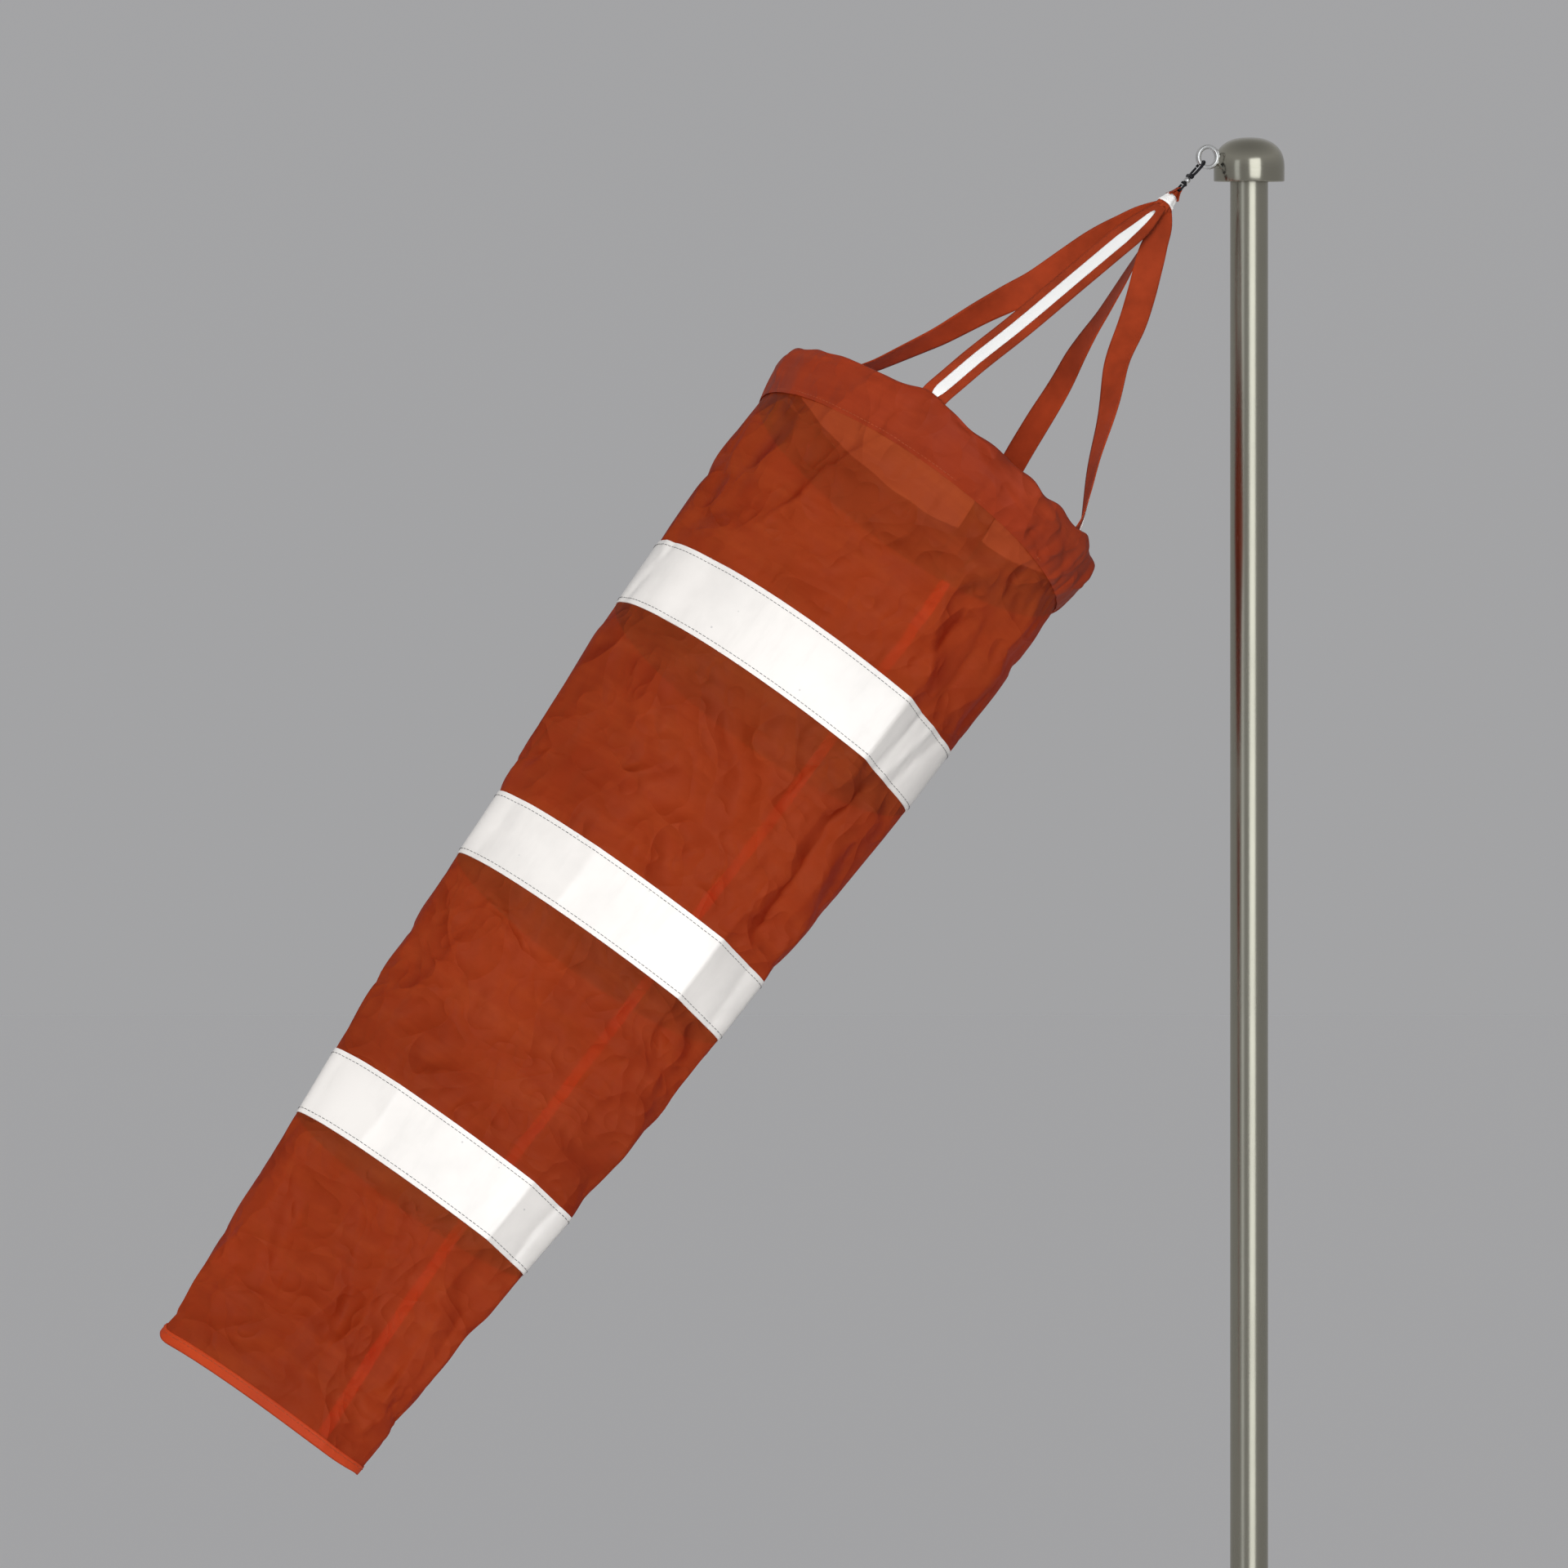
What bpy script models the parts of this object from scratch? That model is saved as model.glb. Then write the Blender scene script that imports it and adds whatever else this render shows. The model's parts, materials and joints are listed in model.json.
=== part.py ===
"""Windsock on a mast with a turning head.

Metres, +Z up. The origin is the centre of the base flange's underside, on the pole's axis, and the
sock trails towards -X. From the ground up: a bolt-down flange with a welded socket, a stainless
tube, a plug with a spindle, a ball bearing, a domed cap that turns on it, an eye ring welded to the
cap, a snap hook with a swivel, four bridle straps, and a tapered sock on a wire hoop.
"""

import math

import bmesh
import bpy
from mathutils import Matrix, Vector

MM = 0.001
GAP = 0.3 * MM

# Mast
TOTAL_HEIGHT = 2.0
POLE_RADIUS = 12.5 * MM
POLE_WALL = 1.2 * MM
FLANGE_RADIUS = 100 * MM
FLANGE_THICKNESS = 8 * MM
BOLT_CIRCLE_RADIUS = 80 * MM
BOLT_HOLE_RADIUS = 5.5 * MM
BOLT_COUNT = 4
SOCKET_RADIUS = 17 * MM
SOCKET_HEIGHT = 70 * MM
SOCKET_FOOT = 5 * MM
SOCKET_RECESS = 1.5 * MM
SOCKET_SCREWS = 3
SOCKET_SCREW_RADIUS = 4 * MM
SOCKET_SCREW_HEIGHT = 56 * MM

# Turning head
CAP_RADIUS = 23.4 * MM
CAP_HEIGHT = 29.2 * MM
CAP_WALL = 1.5 * MM
CAP_SKIRT = 9 * MM
CAP_ROUNDNESS = 2.4
CAP_BOTTOM = TOTAL_HEIGHT - CAP_HEIGHT
POLE_TOP = CAP_BOTTOM + 5.7 * MM
FLANGE_LIP = 1.8 * MM
PLUG_SCREW_HEIGHT = CAP_BOTTOM + 2.9 * MM
BEARING_BOTTOM = POLE_TOP + 5.0 * MM
BEARING_HEIGHT = 6 * MM
BEARING_RADIUS = 9.5 * MM
SPINDLE_RADIUS = 2.9 * MM
BALL_COUNT = 7
BALL_RADIUS = 1.75 * MM
BALL_PITCH_RADIUS = 6.25 * MM
HUB_RADIUS = 11.8 * MM

# Eye ring on the cap's side
RING_REACH = 30 * MM
RING_HEIGHT = TOTAL_HEIGHT - 13.2 * MM
RING_OUTER = 8.2 * MM
RING_INNER = 5.3 * MM
RING_WIDTH = 4 * MM

# Hook, swivel and bridle, measured from the ring's centre down the bridle's line
BRIDLE_TILT = math.radians(44)
BRIDLE_LENGTH = 280 * MM
HOOK_WIRE = 0.9 * MM
HOOK_BOW_RADIUS = 3.8 * MM
HOOK_BOW_AT = 7.9 * MM
HOOK_BASE_TOP = 16.4 * MM
HOOK_BASE_END = 19.2 * MM
GATE_PIVOT_ACROSS = 3.4 * MM
GATE_PIVOT_AT = 17.6 * MM
GATHER_START = 36.3 * MM
GATHER_END = 49 * MM
STRAP_START = 49.4 * MM

# Sock: its axis, and its outline from the mouth (0) to the tail
SOCK_TILT = math.radians(38.3)
SOCK_TWIST = math.radians(19.3)
SOCK_LENGTH = 790 * MM
SIDES = 28
WALL = 1.2 * MM
HOOP_AT = 6 * MM
HOOP_WIRE = 2 * MM
SLEEVE_END = 35 * MM
DROOP_AT = 280 * MM
BANDS = (155 * MM, 355 * MM, 560 * MM)
BAND_WIDTH = 50 * MM
SKIN = 0.6 * MM
# Distance from the mouth, half width, half depth on the flatter side, half depth on the fuller side
OUTLINE = (
    (0, 120.5, 120.5, 120.5),
    (35, 116, 111, 115),
    (80, 117, 92, 112),
    (155, 117.5, 66, 108),
    (205, 116.4, 56, 102),
    (280, 112, 44, 92),
    (355, 106.7, 36, 82),
    (405, 104.6, 32, 75),
    (560, 94.9, 25, 54),
    (610, 90.9, 23, 48),
    (790, 79, 13, 14),
)
STRAP_ANGLES = (206, 104, 293, 27)
STRAP_WIDTH = 19 * MM
STRAP_THICKNESS = 1 * MM
STRIP_WIDTH = 8 * MM
STRIP_THICKNESS = 0.4 * MM
SEAM_ANGLE = math.radians(-65)
SEAM_WIDTH = 12 * MM


def clear_scene():
    for item in list(bpy.data.objects):
        bpy.data.objects.remove(item, do_unlink=True)


def material(name, colour, roughness, metallic=0.0):
    made = bpy.data.materials.new(name)
    made.use_nodes = True
    shader = made.node_tree.nodes["Principled BSDF"]
    shader.inputs["Base Color"].default_value = (*colour, 1.0)
    shader.inputs["Roughness"].default_value = roughness
    shader.inputs["Metallic"].default_value = metallic
    return made


STEEL = (0.62, 0.61, 0.57)
DARK_STEEL = (0.05, 0.05, 0.055)
NYLON = (0.62, 0.10, 0.03)
SILVER = (0.80, 0.80, 0.80)


def empty(name, location, tilt=0.0, parent=None):
    """A frame tilted about Y, with its +Z pointing back up the line that hangs from it."""
    made = bpy.data.objects.new(name, None)
    bpy.context.collection.objects.link(made)
    made.location = location
    made.rotation_euler = (0, tilt, 0)
    made.parent = parent
    return made


def add(name, bm, finish, parent=None, location=(0, 0, 0), rotation=(0, 0, 0), smooth=True):
    bmesh.ops.remove_doubles(bm, verts=bm.verts, dist=1e-7)
    bmesh.ops.recalc_face_normals(bm, faces=bm.faces)
    mesh = bpy.data.meshes.new(name)
    bm.to_mesh(mesh)
    bm.free()
    if smooth:
        mesh.shade_smooth()
        mesh.set_sharp_from_angle(angle=math.radians(35))
    made = bpy.data.objects.new(name, mesh)
    bpy.context.collection.objects.link(made)
    made.parent = parent
    made.location = location
    made.rotation_euler = rotation
    if finish:
        made.data.materials.append(material(name, *finish))
    return made


def turned(profile, closed=True, steps=24):
    """A profile of (radius, height) spun about Z; an open one starts and ends on the axis."""
    bm = bmesh.new()
    points = [bm.verts.new((radius, 0, height)) for radius, height in profile]
    edges = [bm.edges.new(pair) for pair in zip(points, points[1:])]
    if closed:
        edges.append(bm.edges.new((points[-1], points[0])))
    whole = {"cent": (0, 0, 0), "axis": (0, 0, 1), "angle": math.tau}
    bmesh.ops.spin(bm, geom=points + edges, steps=steps, use_merge=True, **whole)
    return bm


def rod(radius, low, high, steps=24):
    """A plain round bar along Z."""
    return turned([(0, high), (radius, high), (radius, low), (0, low)], closed=False, steps=steps)


def pipe(inner, outer, low, high, steps=24):
    return turned([(outer, high), (outer, low), (inner, low), (inner, high)], steps=steps)


def block(low, high):
    bm = bmesh.new()
    bmesh.ops.create_cube(bm, size=1)
    size = [b - a for a, b in zip(low, high)]
    middle = [(a + b) / 2 for a, b in zip(low, high)]
    bmesh.ops.scale(bm, vec=size, verts=bm.verts)
    bmesh.ops.translate(bm, vec=middle, verts=bm.verts)
    return bm


def skinned(rows, loop=False):
    """Rings of points joined in order; a loop joins the last ring to the first, others get end caps."""
    bm = bmesh.new()
    rings = [[bm.verts.new(point) for point in row] for row in rows]
    pairs = list(zip(rings, rings[1:]))
    if loop:
        pairs.append((rings[-1], rings[0]))
    else:
        bm.faces.new(rings[0])
        bm.faces.new(rings[-1])
    for ring, following in pairs:
        for k in range(len(ring)):
            nearby = (k + 1) % len(ring)
            bm.faces.new((ring[k], ring[nearby], following[nearby], following[k]))
    return bm


def boolean(target, cutter, operation="DIFFERENCE"):
    """Cuts with, or joins, another object, which stays as a hidden wire guide."""
    cutter.hide_render = True
    cutter.display_type = "WIRE"
    step = target.modifiers.new(cutter.name, "BOOLEAN")
    step.operation = operation
    step.object = cutter
    step.solver = "EXACT"


def bevel(target, width, segments=2, angle=50):
    step = target.modifiers.new("edge", "BEVEL")
    step.width = width
    step.segments = segments
    step.limit_method = "ANGLE"
    step.angle_limit = math.radians(angle)


# ---------------------------------------------------------------- base and pole


def make_base():
    flange = add("base_flange", rod(FLANGE_RADIUS, 0, FLANGE_THICKNESS, 36), (STEEL, 0.35, 1.0))
    bevel(flange, 1 * MM, 1)
    for k in range(BOLT_COUNT):
        angle = math.tau * (k + 0.5) / BOLT_COUNT
        centre = (BOLT_CIRCLE_RADIUS * math.cos(angle), BOLT_CIRCLE_RADIUS * math.sin(angle), 0)
        hole = rod(BOLT_HOLE_RADIUS, -FLANGE_THICKNESS, 2 * FLANGE_THICKNESS, 16)
        boolean(flange, add(f"bolt_hole_{k + 1}", hole, None, location=centre))

    # The socket's flared foot sits in a shallow recess, where it is welded.
    foot_radius = SOCKET_RADIUS + SOCKET_FOOT
    floor = FLANGE_THICKNESS - SOCKET_RECESS
    recess = rod(foot_radius + GAP, floor, 2 * FLANGE_THICKNESS, 36)
    boolean(flange, add("socket_recess", recess, None))
    low = floor + GAP
    high = FLANGE_THICKNESS + SOCKET_HEIGHT
    soft = 1 * MM
    profile = [
        (SOCKET_RADIUS - soft, high),
        (SOCKET_RADIUS, high - soft),
        (SOCKET_RADIUS, low + SOCKET_FOOT),
        (foot_radius, low),
        (POLE_RADIUS + GAP, low),
        (POLE_RADIUS + GAP, high),
    ]
    socket = add("pole_socket", turned(profile), (STEEL, 0.4, 1.0))
    for k in range(SOCKET_SCREWS):
        turn = (0, math.pi / 2, math.tau * k / SOCKET_SCREWS + math.pi)
        height = (0, 0, SOCKET_SCREW_HEIGHT)
        hole = rod(SOCKET_SCREW_RADIUS + GAP, 0, 2 * SOCKET_RADIUS, 16)
        boolean(socket, add(f"screw_hole_{k + 1}", hole, None, location=height, rotation=turn))
        make_socket_screw(f"socket_screw_{k + 1}", height, turn)


def make_socket_screw(name, location, rotation):
    """A grub screw with a hexagon socket; its inner end bears on the pole."""
    inner = POLE_RADIUS + GAP
    outer = SOCKET_RADIUS + 2 * MM
    shank = rod(SOCKET_SCREW_RADIUS, inner, outer, 16)
    screw = add(name, shank, (DARK_STEEL, 0.45, 1.0), None, location, rotation)
    hexagon = rod(2.3 * MM, outer - 3 * MM, outer + MM, 6)
    boolean(screw, add(f"{name}_socket", hexagon, None, None, location, rotation))


def make_pole():
    low = FLANGE_THICKNESS - SOCKET_RECESS + 2 * GAP
    wall = pipe(POLE_RADIUS - POLE_WALL, POLE_RADIUS, low, POLE_TOP)
    tube = add("pole_tube", wall, (STEEL, 0.22, 1.0))
    body = POLE_RADIUS - POLE_WALL - GAP
    lip = POLE_TOP + GAP
    shoulder = BEARING_BOTTOM - GAP
    top = BEARING_BOTTOM + BEARING_HEIGHT + 6.2 * MM
    profile = [
        (0, top),
        (SPINDLE_RADIUS - 0.5 * MM, top),
        (SPINDLE_RADIUS, top - 0.5 * MM),
        (SPINDLE_RADIUS, shoulder),
        (4.1 * MM, shoulder),
        (4.1 * MM, lip + FLANGE_LIP),
        (POLE_RADIUS, lip + FLANGE_LIP),
        (POLE_RADIUS, lip),
        (body, lip),
        (body, POLE_TOP - 20 * MM),
        (0, POLE_TOP - 20 * MM),
    ]
    plug = add("pole_plug", turned(profile, closed=False), (STEEL, 0.35, 1.0))
    shank = 1.4 * MM
    for k in range(2):
        turn = (math.pi / 2, 0, math.pi * k)
        height = (0, 0, PLUG_SCREW_HEIGHT)
        hole = add(f"plug_hole_{k + 1}", rod(shank + GAP, 6 * MM, 20 * MM, 12), None, None, height, turn)
        boolean(tube, hole)
        boolean(plug, hole)
        head = POLE_RADIUS + GAP
        profile = [
            (0, head + 1.4 * MM),
            (1.6 * MM, head + 1.4 * MM),
            (2.5 * MM, head + 0.5 * MM),
            (2.5 * MM, head),
            (shank, head),
            (shank, 7 * MM),
            (0, 7 * MM),
        ]
        bm = turned(profile, closed=False, steps=16)
        add(f"plug_screw_{k + 1}", bm, (STEEL, 0.3, 1.0), None, height, turn)


# ---------------------------------------------------------------- turning head


def dome(offset=0.0, points=9):
    """The cap's outer line, from its crown down to the top of its skirt."""
    rise = CAP_HEIGHT - CAP_SKIRT + offset
    line = []
    for k in range(points + 1):
        angle = math.pi / 2 * (1 - k / points)
        radius = (CAP_RADIUS + offset) * math.cos(angle) ** (2 / CAP_ROUNDNESS)
        height = CAP_BOTTOM + CAP_SKIRT + rise * math.sin(angle) ** (2 / CAP_ROUNDNESS)
        line.append((0.0 if k == 0 else radius, height))
    return line


def make_head():
    inner = dome(-CAP_WALL)
    hub_bottom = BEARING_BOTTOM - 2.3 * MM
    bearing_top = BEARING_BOTTOM + BEARING_HEIGHT + GAP
    seat = BEARING_RADIUS + GAP
    groove = seat + 0.6 * MM
    nut_room = 7.4 * MM
    ceiling = TOTAL_HEIGHT - 3.2 * MM
    profile = dome()
    profile += [
        (CAP_RADIUS, CAP_BOTTOM + 1.2 * MM),
        (CAP_RADIUS - 0.4 * MM, CAP_BOTTOM + 0.3 * MM),
        (CAP_RADIUS - 1.2 * MM, CAP_BOTTOM),
        (CAP_RADIUS - CAP_WALL, CAP_BOTTOM + 0.2 * MM),
    ]
    profile += [point for point in reversed(inner) if point[0] > HUB_RADIUS + 2 * MM]
    profile += [
        (HUB_RADIUS + 0.4 * MM, inner[2][1]),
        (HUB_RADIUS, inner[2][1] - 1 * MM),
        (HUB_RADIUS, hub_bottom),
        (seat, hub_bottom),
        (seat, hub_bottom + 0.7 * MM),
        (groove, hub_bottom + 0.7 * MM),
        (groove, hub_bottom + 2.0 * MM),
        (seat, hub_bottom + 2.0 * MM),
        (seat, bearing_top),
        (nut_room, bearing_top),
        (nut_room, ceiling),
        (0, ceiling),
    ]
    cap = add("head_cap", turned(profile, closed=False), (STEEL, 0.18, 1.0))

    inner_ring = pipe(SPINDLE_RADIUS + GAP, 4.3 * MM, BEARING_BOTTOM, BEARING_BOTTOM + BEARING_HEIGHT, 24)
    add("bearing_inner_ring", inner_ring, (STEEL, 0.2, 1.0))
    outer_ring = pipe(8.2 * MM, BEARING_RADIUS, BEARING_BOTTOM, BEARING_BOTTOM + BEARING_HEIGHT, 24)
    add("bearing_outer_ring", outer_ring, (STEEL, 0.2, 1.0))
    make_balls()

    washer_low = bearing_top
    washer = pipe(SPINDLE_RADIUS + GAP, 5.0 * MM, washer_low, washer_low + 0.8 * MM, 24)
    add("spindle_washer", washer, (STEEL, 0.3, 1.0))
    nut_low = washer_low + 0.8 * MM + GAP
    hexagon = rod(5.77 * MM, nut_low, nut_low + 3.2 * MM, 6)
    nut = add("spindle_nut", hexagon, (STEEL, 0.3, 1.0), smooth=False)
    bore = rod(SPINDLE_RADIUS + GAP, nut_low - MM, nut_low + 5 * MM, 24)
    boolean(nut, add("nut_bore", bore, None))
    make_circlip(hub_bottom + 0.95 * MM)
    make_eye_ring()
    return cap


def make_balls():
    middle = BEARING_BOTTOM + BEARING_HEIGHT / 2
    for k in range(BALL_COUNT):
        angle = math.tau * k / BALL_COUNT
        place = (BALL_PITCH_RADIUS * math.cos(angle), BALL_PITCH_RADIUS * math.sin(angle), middle)
        bm = bmesh.new()
        bmesh.ops.create_icosphere(bm, subdivisions=2, radius=BALL_RADIUS)
        add(f"bearing_ball_{k + 1}", bm, (STEEL, 0.08, 1.0), location=place)

    # The cage is a thin ring over the balls, with a finger down between each pair of them.
    steps = 8 * BALL_COUNT
    floor = middle + BALL_RADIUS + 0.15 * MM
    bm = turned(
        [(6.9 * MM, floor + 0.7 * MM), (6.9 * MM, floor), (5.6 * MM, floor), (5.6 * MM, floor + 0.7 * MM)],
        steps=steps,
    )
    bm.normal_update()
    fingers = []
    for face in bm.faces:
        centre = face.calc_center_median()
        if abs(face.normal.z) < 0.5 or centre.z > floor + 0.3 * MM:
            continue
        share = (math.atan2(centre.y, centre.x) * BALL_COUNT / math.tau) % 1
        if abs(share - 0.5) < 0.1:
            fingers.append(face)
    pushed = bmesh.ops.extrude_face_region(bm, geom=fingers)["geom"]
    bmesh.ops.delete(bm, geom=fingers, context="FACES")
    moved = [item for item in pushed if isinstance(item, bmesh.types.BMVert)]
    bmesh.ops.translate(bm, vec=(0, 0, -3 * MM), verts=moved)
    add("bearing_cage", bm, ((0.55, 0.42, 0.2), 0.4, 1.0), smooth=False)


def make_circlip(low):
    """A split ring in the hub's groove, under the bearing's outer ring."""
    rows = []
    opening = math.radians(24)
    for k in range(25):
        angle = opening + (math.tau - 2 * opening) * k / 24
        across = Vector((math.cos(angle), math.sin(angle), 0))
        corners = ((8.7, 0), (10.0, 0), (10.0, 0.8), (8.7, 0.8))
        floor = Vector((0, 0, low))
        up = Vector((0, 0, MM))
        rows.append([floor + across * radius * MM + up * height for radius, height in corners])
    add("hub_circlip", skinned(rows), (DARK_STEEL, 0.4, 1.0))


def make_eye_ring():
    """The ring's hole runs along Y; its inner side is cut to sit on the cap."""
    soft = 0.7 * MM
    half = RING_WIDTH / 2
    profile = [
        (RING_OUTER, half - soft),
        (RING_OUTER, -half + soft),
        (RING_OUTER - soft, -half),
        (RING_INNER + soft, -half),
        (RING_INNER, -half + soft),
        (RING_INNER, half - soft),
        (RING_INNER + soft, half),
        (RING_OUTER - soft, half),
    ]
    place = (-RING_REACH, 0, RING_HEIGHT)
    ring = add("eye_ring", turned(profile), (STEEL, 0.15, 1.0), None, place, (math.pi / 2, 0, 0))
    room = dome(GAP) + [(CAP_RADIUS + GAP, CAP_BOTTOM), (0, CAP_BOTTOM)]
    boolean(ring, add("cap_room", turned(room, closed=False), None))


# ---------------------------------------------------------------- hook and swivel
# Local frame of the hook: origin at the ring's centre, +Z back up the bridle's line, Y as the world's.


def swept(path, radius, sides=8):
    """A round wire along a path that lies in the local YZ plane."""
    rows = []
    for k, point in enumerate(path):
        before = path[max(k - 1, 0)]
        after = path[min(k + 1, len(path) - 1)]
        ahead = (after - before).normalized()
        flat = Vector((1, 0, 0))
        up = ahead.cross(flat)
        turns = [math.tau * j / sides for j in range(sides)]
        rows.append([point + (flat * math.cos(turn) + up * math.sin(turn)) * radius for turn in turns])
    return skinned(rows)


def line(across, along):
    """A point of the hook's plane, across it and down the bridle's line."""
    return Vector((0, across, -along))


def make_hook(pivot):
    path = [line(HOOK_BOW_RADIUS, 9.0 * MM)]
    for k in range(9):
        angle = math.pi * k / 8
        across = HOOK_BOW_RADIUS * math.cos(angle)
        path.append(line(across, HOOK_BOW_AT - HOOK_BOW_RADIUS * math.sin(angle)))
    path += [
        line(-HOOK_BOW_RADIUS, 13.2 * MM),
        line(-3.5 * MM, 15.0 * MM),
        line(-2.5 * MM, 16.8 * MM),
        line(-1.4 * MM, 17.8 * MM),
    ]
    hook = add("snap_hook", swept(path, HOOK_WIRE), (DARK_STEEL, 0.4, 1.0), pivot)
    base = block((-1.6 * MM, -2.6 * MM, -HOOK_BASE_END), (1.6 * MM, 4.5 * MM, -HOOK_BASE_TOP))
    boolean(hook, add("hook_base", base, None, pivot), "UNION")
    slot = block((-0.85 * MM, 1.9 * MM, -20 * MM), (0.85 * MM, 6 * MM, -16 * MM))
    boolean(hook, add("gate_slot", slot, None, pivot))
    pin_place = line(GATE_PIVOT_ACROSS, GATE_PIVOT_AT)
    sideways = (0, math.pi / 2, 0)
    hole = rod(0.4 * MM + GAP, -3 * MM, 3 * MM, 12)
    boolean(hook, add("pin_hole", hole, None, pivot, pin_place, sideways))
    neck = rod(1.15 * MM, -20 * MM, -17.7 * MM, 12)
    boolean(hook, add("neck_hole", neck, None, pivot))
    add("gate_pin", rod(0.4 * MM, -1.8 * MM, 1.8 * MM, 12), (STEEL, 0.3, 1.0), pivot, pin_place, sideways)

    gate_pivot = empty("gate_pivot", pin_place, parent=pivot)
    gate = add("hook_gate", gate_blank(), (DARK_STEEL, 0.35, 1.0), gate_pivot)
    eye = rod(0.4 * MM + 0.25 * MM, -2 * MM, 2 * MM, 12)
    boolean(gate, add("gate_eye", eye, None, gate_pivot, rotation=sideways))


def gate_blank():
    """The gate's flat outline, round at its pivot, extruded across the hook."""
    length = GATE_PIVOT_AT - 9.5 * MM
    round_end = 0.95 * MM
    outline = []
    for k in range(7):
        angle = math.pi * k / 6
        outline.append((round_end * math.cos(angle), -round_end * math.sin(angle)))
    waist = length * 0.35
    outline += [(-0.4 * MM, waist), (-0.3 * MM, length), (1.0 * MM, length), (0.95 * MM, waist)]
    rows = [[Vector((side, y, z)) for y, z in outline] for side in (-0.5 * MM, 0.5 * MM)]
    return skinned(rows)


def make_swivel(pivot):
    pin = [
        (0, -18.0),
        (0.85, -18.0),
        (0.85, -25.6),
        (1.7, -25.6),
        (1.5, -26.2),
        (0, -26.2),
    ]
    bm = turned([(r * MM, z * MM) for r, z in pin], closed=False, steps=12)
    add("swivel_pin", bm, (STEEL, 0.3, 1.0), pivot)

    radius, bore, middle = 2.25, 1.15, -21.5
    edge = math.asin(bore / radius)
    turns = [edge + (math.pi - 2 * edge) * k / 4 for k in range(5)]
    bead = [(radius * math.sin(turn), middle + radius * math.cos(turn)) for turn in turns]
    bm = turned([(r * MM, z * MM) for r, z in bead], steps=16)
    add("swivel_bead", bm, (STEEL, 0.1, 1.0), pivot)

    # The eye is a closed wire loop with a boss that the pin turns in.
    across = 3.1 * MM
    top, bottom = 24.6 * MM, 30.7 * MM
    rows = []
    corner = 1.6 * MM
    corners = (
        (across - corner, top + corner, 0),
        (-across + corner, top + corner, 1),
        (-across + corner, bottom - corner, 2),
        (across - corner, bottom - corner, 3),
    )
    loop = []
    for y, along, quarter in corners:
        for k in range(4):
            angle = math.pi / 2 * (quarter + k / 3)
            loop.append(line(y + corner * math.cos(angle), along - corner * math.sin(angle)))
    for k, point in enumerate(loop):
        ahead = (loop[(k + 1) % len(loop)] - loop[k - 1]).normalized()
        flat = Vector((1, 0, 0))
        up = ahead.cross(flat)
        sides = [math.tau * j / 8 for j in range(8)]
        rows.append([point + (flat * math.cos(a) + up * math.sin(a)) * 0.75 * MM for a in sides])
    eye = add("swivel_eye", skinned(rows, loop=True), (DARK_STEEL, 0.35, 1.0), pivot)
    boss = add("eye_boss", rod(2.1 * MM, -25.3 * MM, -23.85 * MM, 16), None, pivot)
    boolean(eye, boss, "UNION")
    boolean(eye, add("eye_bore", rod(1.15 * MM, -26 * MM, -23 * MM, 12), None, pivot))


def make_gather(pivot):
    """The ribbon's loop through the eye, the bundle below it and the tape wrapped round that."""
    half_width = 1.7 * MM
    rows = []
    steps = 16
    for k in range(steps):
        angle = math.tau * k / steps
        middle = 32.2 * MM + (2.3 * MM if math.sin(angle) < 0 else -2.3 * MM)
        out = Vector((math.cos(angle), 0, math.sin(angle)))
        centre = Vector((0, 0, -middle))
        ring = []
        for radius, side in ((1.1, -1), (1.7, -1), (1.7, 1), (1.1, 1)):
            ring.append(centre + out * radius * MM + Vector((0, side * half_width, 0)))
        rows.append(ring)
    add("bridle_loop", skinned(rows, loop=True), (NYLON, 0.8), pivot)

    bundle = ((36.4, 2.8), (40.0, 3.8), (44.3, 5.2), (49.0, 6.4))
    profile = [(0, -bundle[0][0] * MM)]
    profile += [(r * MM, -d * MM) for d, r in bundle]
    profile += [(0, -bundle[-1][0] * MM)]
    add("bridle_gather", turned(profile, closed=False, steps=20), (NYLON, 0.8), pivot)
    inside = [(r * MM + GAP, -d * MM) for d, r in bundle[:3]]
    outside = [(r * MM + GAP + SKIN, -d * MM) for d, r in bundle[:3]]
    add("gather_wrap", turned(outside + inside[::-1], steps=20), (SILVER, 0.35), pivot)


# ---------------------------------------------------------------- sock
# Local frame of the sock: origin at the mouth's centre, +Z back towards the mast, Y as the world's.


def outline_at(distance):
    """The sock's half width and its two half depths at a distance from the mouth, by a smooth curve."""
    stops = [row[0] * MM for row in OUTLINE]
    k = 0
    while k < len(stops) - 2 and distance > stops[k + 1]:
        k += 1
    span = stops[k + 1] - stops[k]
    share = (distance - stops[k]) / span
    values = []
    for column in (1, 2, 3):
        here, there = OUTLINE[k][column] * MM, OUTLINE[k + 1][column] * MM
        slopes = []
        for end in (k, k + 1):
            low, high = max(end - 1, 0), min(end + 1, len(stops) - 1)
            slopes.append((OUTLINE[high][column] - OUTLINE[low][column]) * MM / (stops[high] - stops[low]))
        square, cube = share**2, share**3
        values.append(
            (2 * cube - 3 * square + 1) * here
            + (cube - 2 * square + share) * span * slopes[0]
            + (3 * square - 2 * cube) * there
            + (cube - square) * span * slopes[1]
        )
    return values


def sock_point(distance, angle, proud=0.0):
    """A point of the sock's surface. Angle 0 is the pole's side; the flatter side is at 90 degrees."""
    wide, flat, full = outline_at(distance)
    deep = flat if math.sin(angle) > 0 else full
    across, depth = wide * math.cos(angle), deep * math.sin(angle)
    normal = Vector((math.cos(angle) / wide, math.sin(angle) / deep)).normalized() * proud
    across += normal.x
    depth += normal.y
    x = across * math.cos(SOCK_TWIST) - depth * math.sin(SOCK_TWIST)
    y = -across * math.sin(SOCK_TWIST) - depth * math.cos(SOCK_TWIST)
    return Vector((x, y, -distance))


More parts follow.
